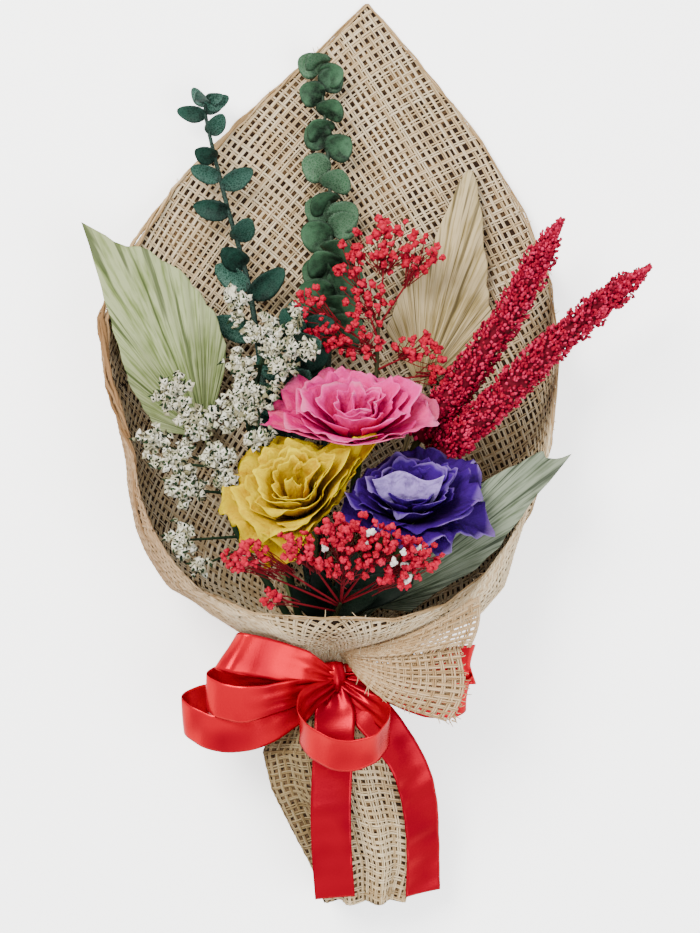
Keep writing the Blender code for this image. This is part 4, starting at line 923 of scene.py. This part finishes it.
# Palm spears: leaf base, outline seen from above from left to right, z at the base with its rise
# per mm along X and Y, pleats, colours of the blade and its ribs
palms = {
    "palm_spear_left": {
        "base": (-84, 9), "height": (24, -0.28, 0.05), "pleats": 13, "seed": 2,
        "outline": ((-108, 12), (-123, 38), (-129, 60), (-135, 85), (-146, 119), (-129, 108), (-117, 106),
                    (-105, 99), (-91, 88), (-78, 72), (-73, 57), (-74, 42), (-78, 28)),
        "place": (1, 0), "onward": ((-45, -60, 15), (-66, -22, 19)),
        "slot": "palm_pale", "name": "pale dried palm", "colours": ("#3e4c26", "#7e8e54", "#aeb886"),
    },
    "palm_spear_upper_right": {
        "base": (26, 34), "height": (7.5, 0.02, 0.01), "pleats": 12, "seed": 5,
        "outline": ((7, 66), (15, 84), (27, 101), (35, 117), (45, 140), (50, 146), (55, 139), (58, 112),
                    (61, 86), (63, 71), (56, 56)),
        "place": (0, 2), "onward": ((-5, -60, 7), (12, -15, 6)),
        "slot": "palm_tan", "name": "tan dried palm", "colours": ("#54482a", "#a08c5a", "#d2bd90"),
    },
    "palm_spear_lower_right": {
        "base": (2, -76), "height": (45, 0.13, 0.05), "pleats": 12, "seed": 9,
        "outline": ((30, -34), (58, -10), (76, -1), (84, 3), (93, -1), (99, 1), (88, -14), (80, -24),
                    (65, -45), (51, -57), (34, -67), (20, -78)),
        "place": (4, 2), "onward": ((-11, -89, 36),),
        "slot": "palm_grey", "name": "grey green dried palm", "colours": ("#262f20", "#5c6850", "#8c9680"),
    },
}


# Distance from the base to the outline in each direction: where the ray meets the edge lines
def outlineReach(outline, base, angles):
    ends = np.array(outline, float) - base
    a, edge = ends[:-1], np.diff(ends, axis=0)
    x, y = np.cos(angles)[:, None], np.sin(angles)[:, None]
    crossed = x * edge[:, 1] - y * edge[:, 0]
    crossed = np.where(np.abs(crossed) < 1e-9, 1e-9, crossed)
    share = (y * a[:, 0] - x * a[:, 1]) / crossed
    far = (a[:, 0] * edge[:, 1] - a[:, 1] * edge[:, 0]) / crossed
    return np.where((share > -0.001) & (share < 1.001), far, 0).max(1)


# Palm leaf cut to a spear: pleats fan out from the stalk, a sharp zigzag of heights, and each
# pleat ends in its own cut, so the edge is toothed
def makePalm(node, palm):
    draw = np.random.default_rng(palm["seed"])
    base, pleats = np.array(palm["base"]), palm["pleats"]
    start, end = (math.atan2(*(palm["outline"][k] - base)[::-1]) for k in (0, -1))
    end = end - 2 * math.pi if end > start else end
    perPleat, rows = 8, 40
    columns = pleats * perPleat + 1
    number = np.arange(columns)
    way = (number + 0.02 * perPleat) / (columns - 1 + 0.04 * perPleat)
    warp = np.interp(way, np.linspace(0, 1, 9), np.concatenate([[0], draw.uniform(-0.035, 0.035, 7), [0]]))
    angles = start + (end - start) * (way + warp)
    tooth = 1 - np.abs(2 * ((number % perPleat) / perPleat) - 1)
    drawn = np.repeat(draw.uniform(-1, 1, pleats + 1), perPleat)[:columns]
    reach = np.maximum(outlineReach(palm["outline"], base, angles), 8.0)
    reach = reach * (1 - 0.03 + 0.025 * tooth + 0.025 * drawn)
    share = np.linspace(0.05, 1, rows)[:, None] ** 0.95
    far = reach * share
    flat = base + far[..., None] * spread(np.cos(angles), np.sin(angles))
    offset = flat - base
    z0, slopeX, slopeY = palm["height"]
    fold = (2 * tooth - 1) * np.minimum(0.7, 0.022 * far) * (0.55 + 0.55 * drawn)
    bend = 0.8 * slowWaves(flat / 26.0, palm["seed"]) * share - 0.5 * drawn * share ** 3
    z = z0 + slopeX * offset[..., 0] + slopeY * offset[..., 1] + fold + bend
    middle = spread(flat[..., 0], flat[..., 1], np.maximum(z, 1.7))
    tone = spread(share, tooth, (drawn + 1) / 2, 0)
    flow = spread(far, way * 900 / pleats, 0)
    tip = middle[rows // 4, columns // 2] - (0, 0, 1)
    parts = [sheetPart(middle[:, ::-1], 0.45, tone[:, ::-1], flow[:, ::-1]),
             stemPart(palm["place"], [*palm["onward"], (*base, z0), tip], 2.2, 0.9)]
    makePiece(pieceName(node), parts, palmFinish(palm), palm["slot"], node)


# Dried palm: ribs run out along every pleat, the blade between them faded unevenly
def palmFinish(palm):
    finish, add, read = startFinish(palm["name"], 0.7)
    deep = palm["colours"][0]
    lines = add("TexNoise", add("Mapping", read["flow"], Scale=(0.05, 1.1, 1)), Scale=1, Detail=4)
    patches = add("TexNoise", read["place"], Scale=55, Detail=3)
    folds = add("TexNoise", add("Mapping", read["flow"], Scale=(0.012, 0.55, 1)), Scale=1, Detail=3)
    blade = add("Math", patches, 0.4, add("Math", read["across"], 0.12, lines))
    # Blades are darker towards their base
    paler = add("Math", read["along"], 0.2, blade)
    shade = add("ValToRGB", paler, stops=tuple(zip((0.53, 0.77, 1.0), palm["colours"])))
    # Painted shade: dark lines along the pleats, in their creases
    creaseShaded = add("Mix", add("MapRange", folds, 0.385, 0.46, 0.8, 0), shade, deep)
    return endFinish(finish, add, creaseShaded, lines, 0.4, 0.0004)


print("palms")
for node, palm in palms.items():
    makePalm(node, palm)

# Eucalyptus stems: place in the bunch, route, leaf count, share of the route at the first leaf,
# lengths of the first and the last leaf, width as a share of the length
eucalyptus = {
    "eucalyptus_left": {
        "place": (0, 0), "leaves": 12, "first": 0.44, "sizes": (24, 12),
        "seed": 5, "wide": 0.6,
        "onward": ((-35, -40, 9), (-52, 20, 9), (-62, 85, 11), (-74, 130, 13), (-84, 172, 14),
                   (-83, 182, 15)),
    },
    "eucalyptus_centre": {
        "place": (0, 1), "leaves": 19, "first": 0.46, "sizes": (20, 12.5),
        "seed": 8, "wide": 1.12,
        "onward": ((-25, -40, 8), (-22, 40, 7), (-20, 85, 8), (-21, 140, 9), (-26, 203, 10)),
    },
    "eucalyptus_low": {
        "place": (1, 1), "leaves": 10, "first": 0.5, "sizes": (23, 16),
        "seed": 3, "wide": 0.8,
        "onward": ((-34, -50, 17), (-42, 10, 22), (-40, 45, 25), (-33, 66, 27)),
    },
}


# Leaf blade: a grid along the heading, its half width a rounded outline, cupped across, arched
# along, its edge gently waved
def leafPart(root, heading, face, length, width, chance, cup, rows=12, columns=9, thick=0.4):
    heading = unitRows(heading)
    face = unitRows(face - heading * (face @ heading))
    side = np.cross(heading, face)
    share = (1 - np.cos(np.linspace(0.06, 0.985, rows) * math.pi))[:, None] / 2
    across = np.linspace(-1, 1, columns)[None, :]
    beside = across * np.sin(math.pi * share ** 0.9) ** 0.5 * width / 2
    lift = cup * beside ** 2 * 3 / width - cup * 0.5 * length * share ** 2
    lift = lift + 0.02 * length * np.sin(share * 9 + chance * 40 + across * 2) * np.abs(across)
    middle = root + heading * (length * share)[..., None] + side * beside[..., None] + face * lift[..., None]
    middle[..., 2] = np.maximum(middle[..., 2], 1.7)
    return sheetPart(middle, thick, spread(share, np.abs(across), chance, 1),
                     spread(share * length, beside, chance * 50))


# Leaves stand in pairs, each pair turned about the stem. The second of a pair is left out where
# it would lie under the stem.
def makeEucalyptus(node, branch, finish):
    draw, extra = random.Random(branch["seed"]), np.random.default_rng(branch["seed"] + 50)
    steps = 200
    line = freePath(branch, steps)
    parts = [stemPart(branch["place"], branch["onward"], 2.2, 0.7, count=40)]
    first, last = branch["sizes"]
    for number in range(branch["leaves"]):
        taper = number / (branch["leaves"] - 1)
        index = min(int((branch["first"] + (1 - branch["first"]) * taper) * (steps - 1)), steps - 3)
        along = unitRows(line[index + 1] - line[index])
        side = unitRows(np.cross(along, (0, 0, 1)))
        up = np.cross(side, along)
        for twin, source, sway, leans in ((0, draw, 10, (0.15, 0.5)), (1, extra, 25, (0.3, 0.9))):
            turn = (-80, 78, -30, 40)[number % 4] + source.uniform(-sway, sway) + 180 * twin
            lean = source.uniform(*leans)
            out = side * math.sin(math.radians(turn)) + up * math.cos(math.radians(turn))
            if twin and out[2] < -0.45:
                continue
            heading = out * 0.9 + along * lean + (0, 0, 0.12)
            length = (first + (last - first) * taper) * (extra.uniform(0.8, 1.0) if twin else 1)
            root = line[min(index + 3 * twin, steps - 2)] - unitRows(heading) * 0.6
            face, width = up - along * 0.45 + out * 0.1, length * branch["wide"]
            parts.append(leafPart(root, heading, face, length, width, extra.uniform(), 0.2))
    makePiece(pieceName(node), parts, finish, "eucalyptus", node)


# Eucalyptus leaf: leathery deep green with paler veins and a frosty bloom in patches
def eucalyptusFinish(name, deep, body, frost, amount):
    finish, add, read = startFinish(name, 0.5)
    patches = add("TexNoise", read["flow"], Scale=0.22, Detail=4)
    # Painted shade: darker towards the stalk, under the leaf above, and a dark line round the edge; no two
    # leaves the same
    rootShadeAndTone = add("Math", read["chance"], 0.35, add("Math", read["along"], 0.45, patches))
    blade = add("ValToRGB", rootShadeAndTone, stops=((0.55, deep), (1.0, body)))
    edge = add("MapRange", read["across"], 0.82, 1, 0, 0.75)
    stalk = add("MapRange", read["kind"], 0.2, 0.8, 0.9, 0)
    shade = add("Mix", add("Math", edge, stalk, operation="MAXIMUM"), blade, deep)
    veins = add("TexVoronoi", read["flow"], Scale=0.8, feature="DISTANCE_TO_EDGE")
    thin = add("MapRange", veins, 0, 0.14, amount, 0)
    specks = add("TexNoise", read["flow"], Scale=1.1, Detail=3)
    dust = add("MapRange", specks, 0.5, 0.75, 0, amount)
    both = add("Math", thin, dust, operation="MAXIMUM")
    # Some leaves are frosted all over and others are bare and dark
    frosted = add("MapRange", read["chance"], 0.35, 0.75, 0.35, 1.35)
    mixed = add("Mix", add("Math", both, frosted, operation="MULTIPLY"), shade, frost)
    return endFinish(finish, add, mixed, veins, 0.35)


print("eucalyptus")
leathery = eucalyptusFinish("preserved eucalyptus leaf", "#0a180f", "#41684a", "#93b094", 0.22)
darkLeathery = eucalyptusFinish("dark preserved eucalyptus leaf", "#04110d", "#1c4235", "#78a596", 0.3)
for node, branch in eucalyptus.items():
    makeEucalyptus(node, branch, leathery if node == "eucalyptus_centre" else darkLeathery)

# Sprays: place in the bunch, route, share of white florets, clusters (share of the route, middle,
# reach, florets)
sprays = {
    "gypsophila_upper": {
        "place": (1, 2), "slot": "gypsophila", "seed": 12, "white": 0.0,
        "onward": ((-14, -45, 19), (-4, 5, 24), (2, 30, 26), (4, 70, 27)),
        "clusters": ((1.0, (8, 108, 28), (14, 13, 6), 40), (0.97, (27, 100, 28), (10, 10, 5), 20),
                     (0.97, (-10, 96, 29), (8, 11, 5), 16), (0.93, (-3, 78, 29), (12, 10, 5), 20),
                     (0.9, (-31, 75, 28), (8, 11, 5), 18), (0.88, (-23, 60, 28), (10, 8, 5), 16),
                     (0.86, (-5, 58, 31), (12, 10, 5), 18), (0.84, (25, 53, 32), (11, 9, 5), 24),
                     (0.8, (35, 41, 34), (7, 6, 4), 10)),
    },
    "gypsophila_lower": {
        "place": (4, 1), "slot": "gypsophila", "seed": 23, "white": 0.05,
        "onward": ((-21, -90, 42), (-17, -78, 56), (-15, -72, 66)),
        "clusters": ((1.0, (-13, -37, 104), (14, 8, 5), 34), (1.0, (6, -42, 103), (14, 8, 5), 34),
                     (0.97, (23, -48, 98), (9, 7, 5), 24), (0.95, (-34, -44, 102), (11, 7, 5), 26),
                     (0.9, (-56, -46, 92), (9, 6, 5), 16), (0.85, (-67, -51, 82), (5, 7, 4), 10),
                     (1.0, (-12, -53, 100), (16, 5, 5), 20), (0.7, (-48, -69, 84), (4, 4, 3), 6),
                     (0.95, (13, -59, 96), (13, 5, 4), 12)),
    },
    "statice_upper": {
        "place": (2, 0), "slot": "statice", "seed": 31,
        "onward": ((-44, -50, 26), (-60, 0, 34), (-58, 30, 38), (-54, 50, 40)),
        "clusters": ((1.0, (-67, 75, 46), (4.5, 9.5, 4.5), 91), (1.0, (-54, 59, 46), (10, 10, 4.5), 156),
                     (0.97, (-43, 55, 46), (7, 8, 4.5), 91), (0.96, (-32, 52, 46), (5, 4, 4.5), 33),
                     (0.96, (-38, 68, 46), (2.5, 5.5, 4.5), 28), (0.95, (-44, 43, 46), (7, 4.5, 4.5), 59),
                     (0.93, (-65, 44, 48), (6.5, 6.5, 4.5), 83), (0.9, (-59, 30, 52), (12, 6.5, 4.5), 143),
                     (0.88, (-67, 21, 54), (14, 8, 4.5), 195), (0.85, (-55, 8, 62), (7, 4.5, 4.5), 65)),
    },
    "statice_left": {
        "place": (3, 0), "slot": "statice", "seed": 37,
        "onward": ((-48, -70, 38), (-66, -40, 48), (-74, -14, 52), (-78, 4, 54)),
        "clusters": ((1.0, (-97, 30, 54), (8.5, 8, 4.5), 143), (0.95, (-85, 15, 56), (10, 8.5, 4.5), 156),
                     (0.85, (-107, 7, 54), (9, 7, 4.5), 117), (0.85, (-96, -4, 58), (11, 10, 4.5), 195),
                     (0.9, (-75, -2, 61), (8, 7.5, 4.5), 117), (0.7, (-91, -17, 58), (9, 8, 4.5), 143),
                     (0.8, (-72, -14, 64), (6, 4.5, 4.5), 57), (0.5, (-93, -42, 60), (6.5, 9, 4.5), 104),
                     (0.45, (-85, -55, 60), (4, 4, 4.5), 28)),
    },
}


# Papery cup with a scalloped rim: out along the outside and back down the inside
paperShape = turnedShape(((0.35, -0.8), (1.0, 0.2), (0.3, 0.0)), 6, 3, 0.25)
# Small pointed bead: one of the seeds of a sprig, or one crumpled petal of a small double flower
beadShape = turnedShape(((0.65, -0.7), (1.05, 0.1), (0.25, 1.0)), 4)
# Narrow bract: a flat pointed rod
bractShape = (
    np.array(((0, 0, 0), (0.5, 0, 0.45), (0, 0.16, 0.45), (-0.5, 0, 0.45), (0, -0.16, 0.45), (0, 0, 1))),
    [np.array(((0, 2, 1), (0, 3, 2), (0, 4, 3), (0, 1, 4), (5, 1, 2), (5, 2, 3), (5, 3, 4), (5, 4, 1)))])


# Even directions over a dome, from straight up down past level
def domeHeadings(count, draw, lowest=-0.35):
    number = np.arange(count) + 0.5
    height = 1 - (1 - lowest) * number / count
    turn = number * 2.4 + draw.uniform(-0.35, 0.35, count)
    flat = np.sqrt(np.maximum(1 - height ** 2, 0))
    return spread(flat * np.cos(turn), flat * np.sin(turn), height)


# Arched branch from a stem to the middle of a cluster
def branchPart(root, middle, thick, thin, chance, kind):
    path = smoothPath([root, (root + middle) / 2 + (0, 0, 1.5), middle], 12)
    return tubePart(path, np.linspace(thick, thin, 12), 5, (0, 0.5, chance, kind))


# Gypsophila: a cluster's florets stand on twigs that fork from the end of its branch
def gypsophilaCluster(draw, root, middle, reach, count, white):
    parts = [branchPart(root, middle, 0.65, 0.4, 0.5, 0.3)]
    ways = domeHeadings(count, draw)
    spots = middle + ways * reach * draw.uniform(0.35, 1.2, (count, 1))
    headings = ways + (0, 0, 0.8) + draw.normal(size=(count, 3)) * 0.35
    sizes = draw.uniform(2.0, 3.1, count)
    fork = middle + (root - middle) * 0.4
    for spot in spots:
        start = fork + draw.normal(size=3) * 1.5
        bend = (start * 0.4 + spot * 0.6) + draw.normal(size=3) * 1.3
        parts.append(tubePart(smoothPath([start, bend, spot], 5), np.linspace(0.34, 0.24, 5), 3,
                              (0, 0.5, draw.uniform(), 0.3)))
    tones = drawTones(draw, count, 1.0)
    tones[draw.uniform(size=count) < white, 3] = 0.7
    # Each small double flower is six crumpled petals pressed together
    each = 6
    spots, sizes, tones = (np.repeat(rows, each, axis=0) for rows in (spots, sizes, tones))
    away = unitRows(np.repeat(headings, each, axis=0) * 0.6 + draw.normal(size=(count * each, 3)))
    tones[:, 2] = draw.uniform(size=count * each)
    petals = sizes * draw.uniform(0.4, 0.6, count * each)
    axes = axesAlong(away, petals, petals * 1.1, draw.uniform(0, 6.3, count * each))
    return parts + [scatterPart(beadShape, spots + away * sizes[:, None] * 0.5, axes, tones)]


# Dyed gypsophila: florets in shades from crimson to bright red, stalks a thin dull pink red, stem green
def gypsophilaFinish():
    finish, add, read = startFinish("dyed gypsophila", 0.75)
    grain = add("TexNoise", read["flow"], Scale=1.4, Detail=2)
    red = add("ValToRGB", add("Math", read["chance"], 0.45, grain),
              stops=((0.35, "#780016"), (0.62, "#bc0028"), (0.95, "#e02048")))
    steps = add("ValToRGB", read["kind"], stepped=True,
                stops=((0.0, "#34341c"), (0.2, "#7c0c1c"), (0.5, "#fff4ec"), (0.85, "#ffffff")))
    mixed = add("Mix", add("Math", read["kind"], 0.85, operation="GREATER_THAN"), steps, red)
    return endFinish(finish, add, mixed, grain, 0.6, 0.0004)


# Statice: papery cups crowd along one side of flat twigs, green bracts between them
def staticeCluster(draw, root, middle, reach, count, _):
    parts = [branchPart(root, middle, 0.8, 0.6, 0.4, 0.0)]
    twigs = 9
    each = int(count * 1.3) // twigs
    bracts = each * 3 // 4
    for way in domeHeadings(twigs, draw, -0.2) * (1, 1, 0.8):
        end = middle + way * reach * draw.uniform(0.9, 1.2)
        bend = (middle + end) / 2 + draw.normal(size=3) * 1.3
        path = smoothPath([middle, bend, end], 8)
        parts.append(tubePart(path, np.linspace(0.7, 0.4, 8), 4, (0, 0.5, draw.uniform(), 0.0)))
        spots = readOff(draw.uniform(0.1, 1.02, each), np.linspace(0, 1, 8), path)
        headings = way * 0.5 + draw.normal(size=(each, 3)) * 0.55 + (0, 0, 0.75)
        spots = spots + unitRows(headings) * 1.1 + draw.normal(size=(each, 3)) * (1.1, 1.1, 0.6)
        sizes = draw.uniform(1.1, 1.95, each)
        tones = drawTones(draw, each, 1.0)
        axes = axesAlong(headings, sizes, sizes * 1.15, draw.uniform(0, 6.3, each))
        parts.append(scatterPart(paperShape, spots, axes, tones))
        headings = draw.normal(size=(bracts, 3)) + way * 0.8 - (0, 0, 0.1)
        tones = drawTones(draw, bracts, 0.4)
        axes = axesAlong(headings, 1.5, draw.uniform(3.0, 5.4, bracts))
        spots = np.resize(spots, (bracts, 3)) - unitRows(headings) * 1.4
        parts.append(scatterPart(bractShape, spots, axes, tones))
    return parts


# Spray: a stem with clusters of florets on branches
def makeSpray(node, spray, finish, makeCluster):
    draw = np.random.default_rng(spray["seed"])
    line = freePath(spray, 100)
    parts = [stemPart(spray["place"], spray["onward"], 2.1, 0.9)]
    for share, middle, reach, count in spray["clusters"]:
        root = line[int(share * (len(line) - 1))]
        parts += makeCluster(draw, root, np.array(middle, float), reach, count, spray.get("white"))
    makePiece(pieceName(node), parts, finish, spray["slot"], node)


# Statice: off-white dry paper for the cups, dark green for the twigs and bracts
def staticeFinish():
    finish, add, read = startFinish("dried statice", 0.8)
    paper = add("ValToRGB", read["chance"], stops=((0.0, "#88825f"), (0.3, "#ccc6a6"), (0.9, "#f6f2e0")))
    green = add("ValToRGB", read["chance"], stops=((0.0, "#0c1a10"), (1.0, "#2c4428")))
    isPaper = add("Math", read["kind"], 0.7, operation="GREATER_THAN")
    return endFinish(finish, add, add("Mix", isPaper, green, paper))


print("sprays")
dyedSpray, driedStatice = gypsophilaFinish(), staticeFinish()
for node, spray in sprays.items():
    if spray["slot"] == "statice":
        makeSpray(node, spray, driedStatice, staticeCluster)
    else:
        makeSpray(node, spray, dyedSpray, gypsophilaCluster)

# Amaranth spikes: place in the bunch, route to the spike's foot, spike's route, radius
amaranths = {
    "amaranth_upper": {
        "place": (1, 3), "onward": ((-2, -50, 20), (14, -15, 26)), "seed": 41,
        "spike": ((24, 8, 32), (45, 35, 36), (70, 72, 40), (84, 98, 42), (96, 119, 43)),
        "radius": (8.0, 8.3, 7.0, 5.0, 0.5),
    },
    "amaranth_lower": {
        "place": (2, 4), "onward": ((2, -50, 28), (18, -18, 34)), "seed": 43,
        "spike": ((34, 0, 42), (60, 24, 47), (90, 54, 52), (118, 78, 55), (139, 94, 56)),
        "radius": (7.5, 7.8, 7.0, 5.0, 0.5),
    },
}


# Amaranth: beads on a core, in short pointed heaps that lean to the tip. A heap is a share of the
# way and a turn about it, and it narrows as its beads climb.
def makeAmaranth(node, plant, finish):
    draw = np.random.default_rng(plant["seed"])
    steps = 600
    line = smoothPath(plant["spike"], steps)
    radius = np.interp(np.linspace(0, 1, steps), np.linspace(0, 1, 5), plant["radius"])
    parts = [tubePart(line[::12], radius[::12] * 0.72, 10, (0, 0.5, 0.3, 0.5)),
             stemPart(plant["place"], [*plant["onward"], plant["spike"][0], line[60]], 2.2, 1.8)]
    heaps, each = 190, 16
    total = heaps * each
    climb, loose = draw.uniform(size=total) ** 0.8, draw.normal(size=(2, total))
    share = np.repeat((np.arange(heaps) + 0.5) / heaps, each)
    share = share + loose[0] * 0.014 * (1 - 0.6 * climb) + 0.03 * climb
    # Beads past the tip are folded back, so that they don't pile up there
    share = np.where(share > 0.985, 1.97 - share, share)
    turn = np.repeat(np.arange(heaps) * 2.4, each) + loose[1] * 0.6 * (1 - 0.65 * climb)
    index = (np.clip(share, 0, 0.998) ** 0.95 * (steps - 1)).astype(int)
    along = unitRows(line[index + 1] - line[index])
    side = unitRows(np.cross(along, (0, 0, 1)))
    out = side * np.cos(turn)[:, None] + np.cross(side, along) * np.sin(turn)[:, None]
    # Towards the tip some heaps stand out as ragged side sprigs
    ragged = np.repeat(draw.uniform(size=heaps) < 0.45, each) * np.clip(share - 0.3, 0, 0.5)
    tall = np.repeat(draw.uniform(0.24, 0.5, heaps), each) + ragged
    spots = line[index] + out * (radius[index] * (0.76 + tall * climb))[:, None]
    spots = spots + along * (radius[index] * 1.6 * ragged * climb)[:, None]
    outs = out * 0.8 + along + draw.normal(size=out.shape) * 0.4
    sizes = draw.uniform(0.75, 1.4, total) * (1 - 0.35 * climb) * (1 - 0.4 * np.clip(share * 5 - 4, 0, 1))
    tones = drawTones(draw, total, 1.0)
    axes = axesAlong(outs, sizes, sizes * 1.3, draw.uniform(0, 6.3, total))
    parts.append(scatterPart(beadShape, spots, axes, tones))
    makePiece(pieceName(node), parts, finish, "amaranth", node)


# Amaranth: dull crimson beads, each its own shade, on a dark core and a green stem
def amaranthFinish():
    finish, add, read = startFinish("dried amaranth", 0.8)
    beads = add("ValToRGB", read["chance"], stops=((0.0, "#740020"), (0.5, "#b40030"), (1.0, "#e42e60")))
    inner = add("ValToRGB", read["kind"], stepped=True,
                stops=((0.0, "#4a4a26"), (0.3, "#68001a"), (0.8, "#ffffff")))
    isBead = add("Math", read["kind"], 0.8, operation="GREATER_THAN")
    return endFinish(finish, add, add("Mix", isBead, inner, beads))


print("amaranths")
driedAmaranth = amaranthFinish()
for node, plant in amaranths.items():
    makeAmaranth(node, plant, driedAmaranth)

# Dark leaves below the roses: place in the bunch, route, leaves as root share and tip
foliage = {
    "place": (4, 0), "onward": ((-26, -92, 35), (-21, -79, 45), (-16, -67, 51)),
    "leaves": ((0.9, (8, -54, 58)), (0.75, (-28, -56, 60)), (0.6, (-38, -66, 58)), (0.98, (-8, -48, 58)),
               (0.85, (20, -62, 60)), (0.8, (-18, -66, 66)), (0.7, (2, -68, 62))),
}
print("foliage")
darkLeaf = eucalyptusFinish("dark preserved leaf", "#030806", "#0e1c12", "#3c5440", 0.15)
line = freePath(foliage, 50)
leaves = [stemPart(foliage["place"], foliage["onward"], 2.1, 1.0)]
for number, (share, tip) in enumerate(foliage["leaves"]):
    root = line[int(share * (len(line) - 1))]
    reach = float(np.linalg.norm(tip - root))
    leaves.append(leafPart(root, tip - root, np.array((0, 0, 1)), reach, reach * 0.4, number / 7, 0.15,
                           20, 13, 0.35))
makePiece(pieceName("foliage_low"), leaves, darkLeaf, "stem", "foliage_low")


# Stage: one pale floor, a soft white sky and two wide lamps, the stronger from the upper left
def addLamp(name, place, size, power, colour):
    lamp = bpy.data.lights.new(name, "AREA")
    lamp.shape, lamp.size, lamp.energy, lamp.color = "SQUARE", size, power, colour
    item = addObject(name, lamp)
    item.location = place
    # The lamp faces the origin
    x, y, z = place
    item.rotation_euler = (math.atan2(math.hypot(x, y), z), 0, math.atan2(x, -y))


def makeStage():
    mesh = bpy.data.meshes.new("paleTable")
    mesh.from_pydata([(x, y, -0.0006) for x, y in ((-2, -2), (2, -2), (2, 2), (-2, 2))], [], [(0, 1, 2, 3)])
    floor = addObject("paleTable", mesh)
    # Lit a little from behind like a light table, so that it stays white round the bunch
    paint, _, _ = startFinish("matt white table", 0.9, 0.1, {
        "Base Color": (0.93, 0.93, 0.93, 1), "Emission Color": (1, 1, 1, 1),
        "Emission Strength": stage["glow"]})
    mesh.materials.append(paint)
    world = bpy.data.worlds.new("softStudio")
    bpy.context.scene.world = world
    world.use_nodes = True
    sky = world.node_tree.nodes["Background"]
    sky.inputs[0].default_value = (1, 1, 1, 1)
    sky.inputs[1].default_value = stage["sky"]
    addLamp("keyLamp", (-0.7, 0.7, 1.3), 0.8, stage["key"], (1.0, 0.97, 0.92))
    addLamp("fillLamp", (0.8, -0.5, 1.2), 1.0, stage["fill"], (0.93, 0.96, 1.0))


print("stage")
makeStage()
lens = bpy.data.cameras.new("topView")
lens.sensor_fit, lens.sensor_height, lens.lens = "VERTICAL", view["sensor"], view["lens"]
camera = addObject("topView", lens)
camera.location = toMetres(view["place"])
camera.rotation_euler = (0, 0, 0)
bpy.context.scene.camera = camera
